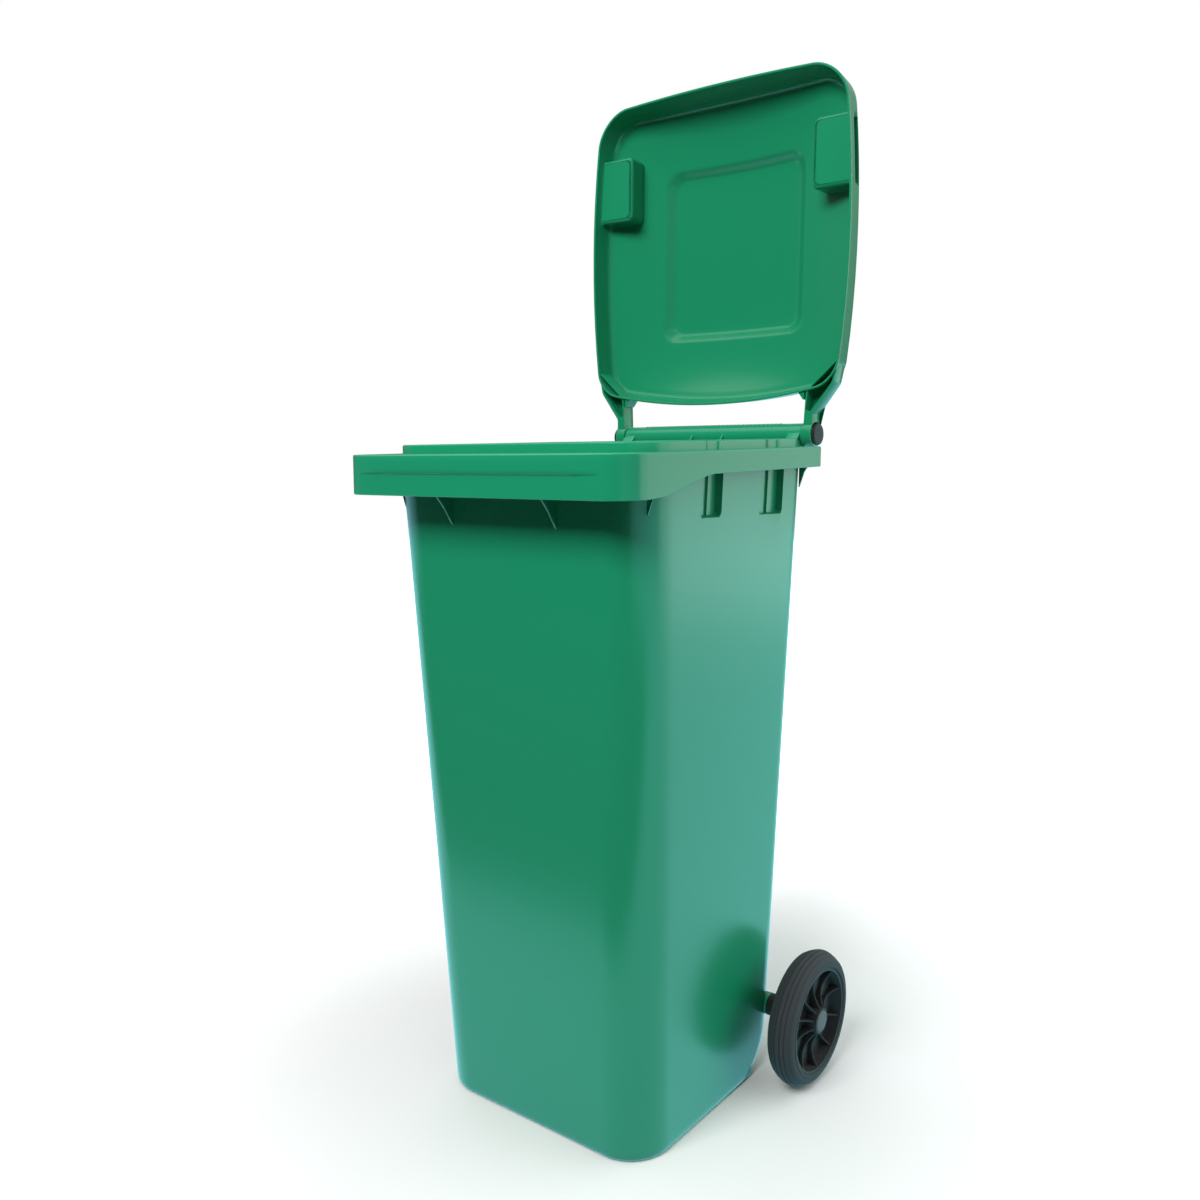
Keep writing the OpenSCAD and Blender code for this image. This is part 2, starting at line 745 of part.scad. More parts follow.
module wheel(side) {
    color(BLACK) on_axle(side) difference() {
        union() {
            translate([wheel_x, 0, 0]) {
                turned([[hub_r, -web_t / 2], [ring_r + 1, -web_t / 2], [ring_r + 1, web_t / 2],
                    [hub_r, web_t / 2]]);
                turned([[ring_r, -ring_half], [seat_r, -ring_half], [seat_r, ring_half],
                    [ring_r, ring_half]]);
                for (k = [0:ribs - 1]) rotate([rib_turn + k * 360 / ribs, 0, 0]) rotate([90, 0, 0])
                    linear_extrude(rib_t, center = true)
                    polygon([for (p = concat(rib_edge(1), reversed(rib_edge(-1)))) [p[1], p[0]]]);
            }
            translate([wheel_x, 0, 0]) rod(hub_r, -hub_half, hub_half);
        }
        rod(axle_r + running, hub_in - 1, wheel_x + far);
        rod(cap_r, hub_seat, wheel_x + far);
    }
}

module wheel_left() { wheel(-1); }
module wheel_right() { wheel(1); }

// Solid rubber tyre: stepped shoulders and a crowned tread with three grooves.
tread_r = wheel_d / 2;
crown_half = 4;
groove_w = 1.6;
groove_d = 1.8;
groove_pitch = 9.5;

function tyre_half_profile() = let (w = tyre_w / 2) [[seat_r, w - 2], [seat_r + 3, w], [seat_r + 8, w],
    [seat_r + 9, w - 1.6], [tread_r - 8, w - 2.6], [tread_r - 7, w - 5], [tread_r - 3, w - 9],
    [tread_r - 1, w - 13]];

module tyre(side) {
    half = tyre_half_profile();
    color(RUBBER) on_axle(side) translate([wheel_x, 0, 0]) difference() {
        turned(concat(half, [[tread_r, crown_half], [tread_r, -crown_half]],
            [for (p = reversed(half)) [p[0], -p[1]]]));
        for (x = [-groove_pitch, 0, groove_pitch]) turned([[tread_r - groove_d - 1, x - groove_w / 2],
            [tread_r + 1, x - groove_w / 2], [tread_r + 1, x + groove_w / 2],
            [tread_r - groove_d - 1, x + groove_w / 2]]);
    }
}

module tyre_left() { tyre(-1); }
module tyre_right() { tyre(1); }

module hub_washer(side) {
    r_in = axle_r + running;
    r_out = cap_r - 3;
    color(STEEL) on_axle(side) turned([[r_in, washer_x], [r_out, washer_x],
        [r_out, washer_x + washer_t], [r_in, washer_x + washer_t]], 64);
}

module hub_washer_left() { hub_washer(-1); }
module hub_washer_right() { hub_washer(1); }

// Push-on nut: a dished ring that bites the axle's end.
module push_nut(side) {
    r_out = cap_r - 4;
    color(STEEL) on_axle(side) turned([[axle_r, nut_x + nut_t / 2], [r_out, nut_x],
        [r_out, nut_x + nut_t / 2], [axle_r + 1, nut_x + 1.5 * nut_t],
        [axle_r, nut_x + 1.5 * nut_t]], 64);
}

module push_nut_left() { push_nut(-1); }
module push_nut_right() { push_nut(1); }

// Hub cap: a thin cup, pressed into the hub over the end of the axle, with a slightly domed face.
cap_wall = 1.6;
cap_bottom = hub_seat + 1;
cap_top = wheel_x + tyre_w / 2 + 1.5;
cap_dome = 0.4;
cap_round = [1.5, 2];

module hub_cap(side) {
    color(GREY) on_axle(side) turned([[cap_r - cap_wall, cap_bottom], [cap_r, cap_bottom],
        [cap_r, cap_top - cap_round[1]], [cap_r - cap_round[0], cap_top - cap_dome], [0, cap_top],
        [0, cap_top - cap_wall], [cap_r - cap_wall, cap_top - cap_wall - cap_dome]], 64);
}

module hub_cap_left() { hub_cap(-1); }
module hub_cap_right() { hub_cap(1); }

// ---- nodes ---------------------------------------------------------------------------------

bin_body();
lid();
hinge_pin_left();
hinge_pin_right();
axle();
axle_sleeve_left();
axle_sleeve_right();
wheel_left();
wheel_right();
tyre_left();
tyre_right();
hub_washer_left();
hub_washer_right();
push_nut_left();
push_nut_right();
hub_cap_left();
hub_cap_right();
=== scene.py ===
import math

import bpy
import numpy as np
from bpy.props import FloatProperty, FloatVectorProperty, IntProperty, PointerProperty
from mathutils import Matrix, Vector


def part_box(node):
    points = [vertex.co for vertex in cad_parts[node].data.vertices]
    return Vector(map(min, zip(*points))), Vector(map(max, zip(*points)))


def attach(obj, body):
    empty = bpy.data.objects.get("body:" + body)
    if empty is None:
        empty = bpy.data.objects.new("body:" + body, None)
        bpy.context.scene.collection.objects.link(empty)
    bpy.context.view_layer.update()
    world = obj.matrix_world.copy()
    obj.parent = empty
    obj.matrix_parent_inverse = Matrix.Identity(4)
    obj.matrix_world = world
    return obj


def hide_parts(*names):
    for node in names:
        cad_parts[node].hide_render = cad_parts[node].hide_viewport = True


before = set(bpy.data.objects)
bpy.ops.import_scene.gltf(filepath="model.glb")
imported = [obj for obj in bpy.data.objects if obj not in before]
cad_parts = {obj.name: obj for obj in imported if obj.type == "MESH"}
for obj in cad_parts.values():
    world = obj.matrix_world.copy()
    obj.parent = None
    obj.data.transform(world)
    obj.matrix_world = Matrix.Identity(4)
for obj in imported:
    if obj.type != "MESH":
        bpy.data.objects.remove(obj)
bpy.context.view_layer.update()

bl_info = {
    "name": "Wheeled waste bin",
    "version": (1, 0, 0),
    "blender": (4, 5, 0),
    "location": "3D View > Sidebar > Bin",
    "description": "Builds a two-wheeled waste bin with a hinged lid, piece by piece",
    "category": "Add Mesh",
}

TYRE_LOW, TYRE_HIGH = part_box("tyre_right")
PIN_LOW, PIN_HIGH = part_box("hinge_pin_right")
WHEEL_D = TYRE_HIGH.z - TYRE_LOW.z
AXLE_Y = (TYRE_LOW.y + TYRE_HIGH.y) / 2
AXLE_Z = (TYRE_LOW.z + TYRE_HIGH.z) / 2
HINGE_Y = (PIN_LOW.y + PIN_HIGH.y) / 2
HINGE_Z = (PIN_LOW.z + PIN_HIGH.z) / 2
AXLE = (0, AXLE_Y, AXLE_Z)
HINGE = (0, HINGE_Y, HINGE_Z)
FIT = 0.00005


# ---- sizes and colours that a user would change -------------------------------------------------

def length(name, default, text):
    return FloatProperty(name=name, description=text, default=default, min=0.0, precision=4,
                         unit="LENGTH", subtype="DISTANCE")


def colour(name, default, text):
    return FloatVectorProperty(name=name, description=text, default=default, size=4, min=0.0, max=1.0,
                               subtype="COLOR")


class BinBodySizes(bpy.types.PropertyGroup):
    base_w: length("Base width", 0.376, "Width of the body at the floor")
    base_d: length("Base depth", 0.347, "Depth of the body at the floor")
    top_w: length("Top width", 0.445, "Width of the body under the rim")
    front_flare: length("Front flare", 0.057, "How far the front wall leans forward")
    rear_flare: length("Rear flare", 0.008, "How far the rear wall leans back")
    rim_h: length("Rim height", 0.954, "Height of the rim's top at the rear")
    wall: length("Wall", 0.004, "Thickness of the moulded wall")
    front_r: length("Front edge radius", 0.064, "Radius of the upright front edges")
    rear_r: length("Rear edge radius", 0.040, "Radius of the upright rear edges")
    heel_r: length("Heel radius", 0.075, "Radius of the rounded heel")
    foot_r: length("Foot radius", 0.009, "Small radius round the rest of the base")
    rim_slope: FloatProperty(name="Rim slope", description="Fall of the rim to the front",
                             default=math.radians(2.4), subtype="ANGLE", unit="ROTATION")
    rim_side: length("Rim at the sides", 0.020, "How far the rim stands out from the side walls")
    rim_front: length("Rim at the front", 0.054, "How far the rim stands out from the front wall")
    rim_t: length("Rim thickness", 0.0035, "Thickness of the rim's top and skirt")
    skirt_front: length("Front skirt", 0.053, "Depth of the skirt along the front")
    skirt_side: length("Side skirt", 0.029, "Depth of the skirt along the sides")
    rim_r: length("Rim radius", 0.042, "Radius of the rim's front corners")
    collar_h: length("Collar height", 0.012, "Height of the collar above the rim")
    flute_w_front: length("Front flute", 0.050, "Width of the front flute on each side")
    flute_w_rear: length("Rear flute", 0.064, "Width of the rear flute on each side")
    flute_depth: length("Flute depth", 0.009, "Depth of the flutes")
    flute_pitch: length("Flute pitch", 0.153, "Distance between the flutes' middles")
    flute_l: length("Flute length", 0.092, "Length of the flutes, from the rim down")


class BinHandleSizes(bpy.types.PropertyGroup):
    bar_d: length("Bar diameter", 0.034, "Diameter of the handle bar")
    bar_l: length("Bar length", 0.336, "Length of the handle bar")
    bracket_t: length("Bracket thickness", 0.022, "Thickness of each handle bracket")
    web_x: length("Web distance", 0.029, "Distance from the middle to each centre web")
    ridge_pitch: length("Ridge pitch", 0.0075, "Distance between the grip ridges")
    ridge_h: length("Ridge height", 0.0008, "Height of the grip ridges")
    pin_d: length("Pin diameter", 0.016, "Diameter of the hinge pins")
    pin_head_d: length("Pin head diameter", 0.033, "Diameter of the pins' round heads")


class BinLidSizes(bpy.types.PropertyGroup):
    lid_w: length("Lid width", 0.480, "Width of the lid at the middle of its bowed sides")
    lid_l: length("Lid length", 0.461, "Length of the lid between its corner edges")
    lid_gap: length("Lid gap", 0.075, "Distance from the hinge axis to the lid's nearer corners")
    side_bow: length("Side bow", 0.016, "How much each side bows outwards")
    hinge_bow: length("Hinge edge bow", 0.026, "How much the edge by the hinge bows outwards")
    front_bow: length("Front edge bow", 0.007, "How much the front edge bows outwards")
    lid_t: length("Lid wall", 0.0035, "Thickness of the lid's wall")
    skirt: length("Lid skirt", 0.01667, "How far the lid's free edge lies past the hinge axis")
    shoulder: length("Shoulder height", 0.020, "Height of the lid's shoulder over the hinge axis")
    dome_h: length("Dome height", 0.044, "Height of the dome above the shoulder")
    side_draft: length("Side draft", 0.003, "How far the side wall leans in from its free edge to its top")
    panel_step: length("Panel step", 0.009, "Height of the step up to the raised panel")
    panel_half_w: length("Panel half width", 0.134, "Half the width of the raised panel")
    panel_near: length("Panel near edge", 0.160, "Distance from the hinge axis to the panel")
    panel_far: length("Panel far edge", 0.445, "Distance from the hinge axis to the panel's far edge")
    grip_l: length("Grip length", 0.104, "Length of each grip pocket")
    grip_w: length("Grip width", 0.072, "Width of each grip pocket")
    grip_at: length("Grip place", 0.414, "Distance from the hinge axis to each grip pocket")
    lid_open: FloatProperty(name="Lid angle", description="How far the lid stands open at rest",
                            default=math.radians(90.4), subtype="ANGLE", unit="ROTATION")


class BinWheelSizes(bpy.types.PropertyGroup):
    wheel_d: length("Wheel diameter", WHEEL_D, "Diameter of the wheels over the tyres")
    tyre_w: length("Tyre width", TYRE_HIGH.x - TYRE_LOW.x, "Width of the tyres")
    tyre_t: length("Tyre thickness", 0.022, "Thickness of the tyres")
    axle_d: length("Axle diameter", 0.020, "Diameter of the axle")
    sleeve_d: length("Sleeve diameter", 0.033, "Outside diameter of the sleeves on the axle")
    cap_d: length("Cap diameter", 0.0312, "Diameter of the hub caps")
    rib_t: length("Rib thickness", 0.0026, "Thickness of the wheels' ribs")
    rib_dip: length("Rib dip", 0.011, "How deep the ribs' edges dip")
    ribs: IntProperty(name="Ribs", description="Number of ribs in each wheel", default=10, min=3, max=24)


class BinColours(bpy.types.PropertyGroup):
    body: colour("Body green", (0.0, 0.285, 0.050, 1.0), "Green of the body")
    lid: colour("Lid green", (0.0, 0.225, 0.045, 1.0), "Green of the lid")
    pale: colour("Pale green", (0.10, 0.46, 0.28, 1.0), "Green where the plastic is scuffed or strained")
    black: colour("Black", (0.016, 0.017, 0.018, 1.0), "Black of the pins, sleeves and wheels")
    rubber: colour("Rubber", (0.036, 0.039, 0.040, 1.0), "Grey of the tyres")
    dust: colour("Dust", (0.17, 0.18, 0.18, 1.0), "Grey of the dust on rubber and black plastic")
    cap: colour("Cap grey", (0.115, 0.125, 0.13, 1.0), "Grey of the hub caps")
    steel: colour("Steel", (0.52, 0.54, 0.55, 1.0), "Grey of the zinc-plated steel")


# ---- surfaces -----------------------------------------------------------------------------------

def mix(a, b, t):
    return a + (b - a) * t


def ease(low, high, x):
    """A step from 0 at low to 1 at high: 3 t^2 - 2 t^3, where t runs evenly from low to high."""
    t = np.clip((x - low) / (high - low), 0.0, 1.0)
    return t * t * (3.0 - 2.0 * t)


def shell(rings, closed=False):
    """Points and faces of a surface through a stack of closed rings, shaped (ring, point, xyz).
    Each ring joins the next by quads. If closed, the last ring joins the first, and otherwise each
    end is closed by a fan to the middle of its ring. Faces are turned so that the volume is positive."""
    rings = np.asarray(rings, float)
    count, across = rings.shape[:2]
    index = np.arange(count * across).reshape(count, across)
    lower = index if closed else index[:-1]
    upper = np.roll(index, -1, 0) if closed else index[1:]
    quads = np.stack([lower, np.roll(lower, -1, 1), np.roll(upper, -1, 1), upper], -1).reshape(-1, 4)
    points = rings.reshape(-1, 3)
    tris = np.zeros((0, 3), int)
    if not closed:
        middle = np.array([rings[0].mean(0), rings[-1].mean(0)])
        points = np.concatenate([points, middle])
        first, last = index[0], index[-1]
        tris = np.concatenate([
            np.stack([np.roll(first, -1), first, np.full(across, count * across)], -1),
            np.stack([last, np.roll(last, -1), np.full(across, count * across + 1)], -1)])
    split = np.concatenate([quads[:, [0, 1, 2]], quads[:, [0, 2, 3]], tris])
    a, b, c = (points[split[:, k]] - points.mean(0) for k in range(3))
    if np.einsum("ij,ij->", a, np.cross(b, c)) < 0:
        quads, tris = quads[:, ::-1], tris[:, ::-1]
    return points, quads.tolist() + tris.tolist()


def together(parts):
    """Points and faces of several closed surfaces as one list of each."""
    points, faces, start = [], [], 0
    for part_points, part_faces in parts:
        points.append(part_points)
        faces += [[start + k for k in face] for face in part_faces]
        start += len(part_points)
    return np.concatenate(points), faces


def turned(profile, centre, side=1, steps=96):
    """A profile of (radius, x) points turned once round the X axis through centre: the ring at profile
    point k is (x_k, r_k cos t, r_k sin t). The profile is closed, so it may run round a bore. A side of
    -1 mirrors it to -X."""
    profile = np.asarray(profile, float)
    t = np.linspace(0, 2 * np.pi, steps, endpoint=False)[:, None]
    r, x = profile[None, :, 0], profile[None, :, 1]
    rings = np.stack([side * x + 0 * t, centre[1] + r * np.cos(t), centre[2] + r * np.sin(t)], -1)
    return shell(rings, closed=True)


def rounded(corners, radii, steps=5):
    """A closed plan of straight lines whose corners are arcs: each corner of the given radius becomes
    steps + 1 points of the circle that touches both of its lines."""
    corners = np.asarray(corners, float)
    radii = np.broadcast_to(radii, len(corners))
    before, after = np.roll(corners, 1, 0) - corners, np.roll(corners, -1, 0) - corners
    out = []
    for p, u, v, r in zip(corners, before, after, radii):
        lu, lv = np.linalg.norm(u), np.linalg.norm(v)
        u, v = u / lu, v / lv
        half = np.arccos(np.clip(u @ v, -1, 1)) / 2
        reach = min(r / np.tan(half), 0.49 * lu, 0.49 * lv)
        t = np.linspace(0, 1, steps + 1)[:, None]
        # The arc, written as the rational curve of its two ends and its corner.
        w = np.sin(half)
        weight = (1 - t) ** 2 + 2 * w * t * (1 - t) + t ** 2
        out.append((((1 - t) ** 2) * (p + u * reach) + 2 * w * t * (1 - t) * p
                    + (t ** 2) * (p + v * reach)) / weight)
    return np.concatenate(out)


def inset(plan, by):
    """A closed anticlockwise plan moved inwards: each point goes by along the mean of its sides' normals."""
    ahead = np.roll(plan, -1, 0) - np.roll(plan, 1, 0)
    normal = np.stack([-ahead[:, 1], ahead[:, 0]], -1)
    normal /= np.maximum(np.linalg.norm(normal, axis=1, keepdims=True), 1e-12)
    area = np.sum(plan[:, 0] * np.roll(plan[:, 1], -1) - np.roll(plan[:, 0], -1) * plan[:, 1])
    return plan + normal * by * np.sign(area)


def plate(plan, low, high, bevel=0.0005, axis="x"):
    """A flat plate between low and high along an axis, whose edges have a small quarter round: rings of
    the plan, drawn in by bevel (1 - sin t) and moved in from each face by bevel (1 - cos t)."""
    t = np.radians([0, 30, 60, 90])
    levels = np.concatenate([low + bevel * (1 - np.sin(t)[::-1]), high - bevel * (1 - np.sin(t))])
    draws = np.concatenate([bevel * (1 - np.cos(t)[::-1]), bevel * (1 - np.cos(t))])
    rings = []
    for level, draw in zip(levels, draws):
        p = inset(plan, draw)
        flat = np.full(len(p), level)
        rings.append(np.stack({"x": [flat, p[:, 0], p[:, 1]], "y": [p[:, 0], flat, p[:, 1]],
                               "z": [p[:, 0], p[:, 1], flat]}[axis], -1))
    return shell(rings)


def bend_at_points(points, faces):
    """How sharply the surface bends at each point, from 0 on a flat to 1 on an edge: the largest angle
    between the point's mean normal and the normals of its faces, over 0.5 radian."""
    four = np.array([list(f) + [f[-1]] * (4 - len(f)) for f in faces])
    p = points[four]
    normal = np.cross(p[:, 2] - p[:, 0], p[:, 3] - p[:, 1])
    tri = np.cross(p[:, 1] - p[:, 0], p[:, 2] - p[:, 0])
    normal = np.where((four[:, 2] == four[:, 3])[:, None], tri, normal)
    size = np.linalg.norm(normal, axis=1, keepdims=True)
    normal = normal / np.maximum(size, 1e-15)
    total = np.zeros_like(points)
    for k in range(4):
        np.add.at(total, four[:, k], normal)
    total /= np.maximum(np.linalg.norm(total, axis=1, keepdims=True), 1e-12)
    worst = np.ones(len(points))
    for k in range(4):
        cos = np.where(size[:, 0] > 1e-12, np.einsum("ij,ij->i", total[four[:, k]], normal), 1.0)
        np.minimum.at(worst, four[:, k], cos)
    return np.clip(np.arccos(np.clip(worst, -1, 1)) / 0.5, 0, 1)


def make(name, surface, material, body, stands_for=(), smooth_angle=38.0):
    """Puts a surface into the scene as a piece that rides on a body."""
    points, faces = surface
    mesh = bpy.data.meshes.new(name)
    mesh.from_pydata(points.tolist(), [], faces)
    mesh.validate()
    wear = mesh.attributes.new("edge_wear", "FLOAT", "POINT")
    wear.data.foreach_set("value", bend_at_points(points, faces).astype(np.float32))
    mesh.shade_smooth()
    mesh.set_sharp_from_angle(angle=math.radians(smooth_angle))
    mesh.materials.append(bpy.data.materials[material])
    piece = bpy.data.objects.new(name, mesh)
    bpy.context.scene.collection.objects.link(piece)
    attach(piece, body)
    if stands_for:
        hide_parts(*stands_for)
    return piece


# ---- body ---------------------------------------------------------------------------------------

HOUSING_FRONT = 0.032
HOUSING_OVER = 0.054
HOUSING_ROOF = 0.040
HOUSING_HALF = 0.1465
HOUSING_RIB_X = 0.072
HOUSING_EDGE = 0.0006
COLLAR_IN = 0.002
CORNER_STEPS = 16


def flute_columns(s):
    """Places along a side wall where the body's grid has a column: close together at the flutes' edges
    and at their middle ribs."""
    places = []
    for middle, width in ((-s.flute_pitch / 2, s.flute_w_front), (s.flute_pitch / 2, s.flute_w_rear)):
        half = width / 2
        one_side = [half + 0.002, half + 0.0008, half, half - 0.0006, half - 0.0012, half - 0.002,
                    half - 0.003,
                    half - 0.0045, half - 0.0075, 0.0145, 0.0138, 0.0132, 0.0125, 0.0075, 0.0038, 0.0022,
                    0.0016, 0.0012, 0.0008]
        places += [middle - d for d in one_side] + [middle] + [middle + d for d in one_side]
    return np.array(sorted(places))


def body_plan(s, half_w, y0, y1, r_front, r_rear):
    """Rounded rectangles, one a row, all with the same columns: four corner arcs, straight sides whose
    columns stand at fixed places, and a front and a rear that are shared out evenly."""
    given = (half_w, y0, y1, r_front, r_rear)
    half_w, y0, y1, r_front, r_rear = (np.broadcast_to(v, np.shape(half_w))[:, None] for v in given)
    a = np.linspace(0, np.pi / 2, CORNER_STEPS)[None, :]
    cos, sin = np.cos(a), np.sin(a)
    places = flute_columns(s)
    before = np.array([0.25, 0.6, 0.88])[None, :]
    after = np.array([0.12, 0.45, 0.8])[None, :]
    first, last = y0 + r_front, y1 - r_rear
    side_y = np.concatenate([mix(first, places[0], before), places[None, :] + 0 * first,
                             mix(places[-1], last, after)], 1)
    rear_x = np.concatenate([[-HOUSING_HALF - HOUSING_EDGE], np.linspace(-HOUSING_HALF, HOUSING_HALF, 13),
                             [HOUSING_HALF + HOUSING_EDGE]])
    front_t = np.linspace(0, 1, 14)[None, 1:-1]
    x = np.concatenate([half_w - r_rear + r_rear * cos, -rear_x[None, :] + 0 * half_w,
                        -half_w + r_rear - r_rear * sin, -half_w + 0 * side_y,
                        -half_w + r_front - r_front * cos,
                        mix(-half_w + r_front, half_w - r_front, front_t),
                        half_w - r_front + r_front * sin, half_w + 0 * side_y], 1)
    y = np.concatenate([y1 - r_rear + r_rear * sin, y1 + 0 * rear_x[None, :],
                        y1 - r_rear + r_rear * cos, side_y[:, ::-1],
                        y0 + r_front - r_front * sin, y0 + 0 * front_t,
                        y0 + r_front - r_front * cos, side_y], 1)
    return np.stack([x, y], -1)


def round_back(r, z):
    """How far a quarter round of radius r stands back at height z above its lowest point."""
    z = np.asarray(z, float)
    return np.where(z >= r, 0.0, r - np.sqrt(np.maximum(r * r - (r - z) ** 2, 0.0)))


def body_half(s, z):
    return mix(s.base_w, s.top_w, z / s.rim_h) / 2


def body_front(s, z):
    return -s.base_d / 2 - s.front_flare * z / s.rim_h


def body_rear(s, z):
    return s.base_d / 2 + s.rear_flare * z / s.rim_h


def body_rows(s, z, draw, heel, foot):
    """Plans of the body at heights z, drawn in by draw, with the heel and the foot rounded."""
    z = np.asarray(z, float)
    f = round_back(foot, z) + draw if foot else np.full(z.shape, draw)
    back = np.maximum(round_back(heel, z), round_back(foot, z)) if heel else np.zeros(z.shape)
    return body_plan(s, body_half(s, z) - f, body_front(s, z) + f, body_rear(s, z) - back - draw,
                     s.front_r - f, s.rear_r - np.minimum(f, s.rear_r - 0.004))


def rim_height(s, y):
    """Height of the rim's top at a depth y: a plane that falls to the front."""
    return s.rim_h + (y - body_rear(s, s.rim_h)) * math.tan(s.rim_slope)


def flute_press(s, y, z, grow):
    """How deep the side wall is pressed in at (y, z): the flute's depth times a step across 3 mm inside
    a rectangle with rounded lower corners, less a thin rib that stays in its middle."""
    low = s.rim_h - s.rim_t - s.flute_l - grow
    depth = 0.0
    for middle, width in ((-s.flute_pitch / 2, s.flute_w_front), (s.flute_pitch / 2, s.flute_w_rear)):
        r = 0.008 + grow
        across = np.abs(y - middle) - (width / 2 + grow - r)
        down = (low + r) - z
        edge = np.hypot(np.maximum(across, 0), np.maximum(down, 0)) + np.minimum(np.maximum(across, down),
                                                                                 0) - r
        pressed = ease(0.0, 0.0028, -edge)
        rib = 1 - ease(0.0007, 0.0014, np.abs(y - middle)) if grow == 0 else 0.0
        depth = depth + s.flute_depth * pressed * (1 - 0.3 * rib)
    return depth


def housing_limit(z, grow):
    """Furthest back that the wall over the axle may stand at height z: upright, then leaning back at 45
    degrees, then nearly level under the housing's roof."""
    front = AXLE_Y - HOUSING_FRONT - grow
    top = AXLE_Z + HOUSING_OVER + grow
    eave = top - HOUSING_ROOF
    return np.where(z < eave, front, np.where(z < top, front + z - eave,
                                              front + HOUSING_ROOF + (z - top) / 0.408))


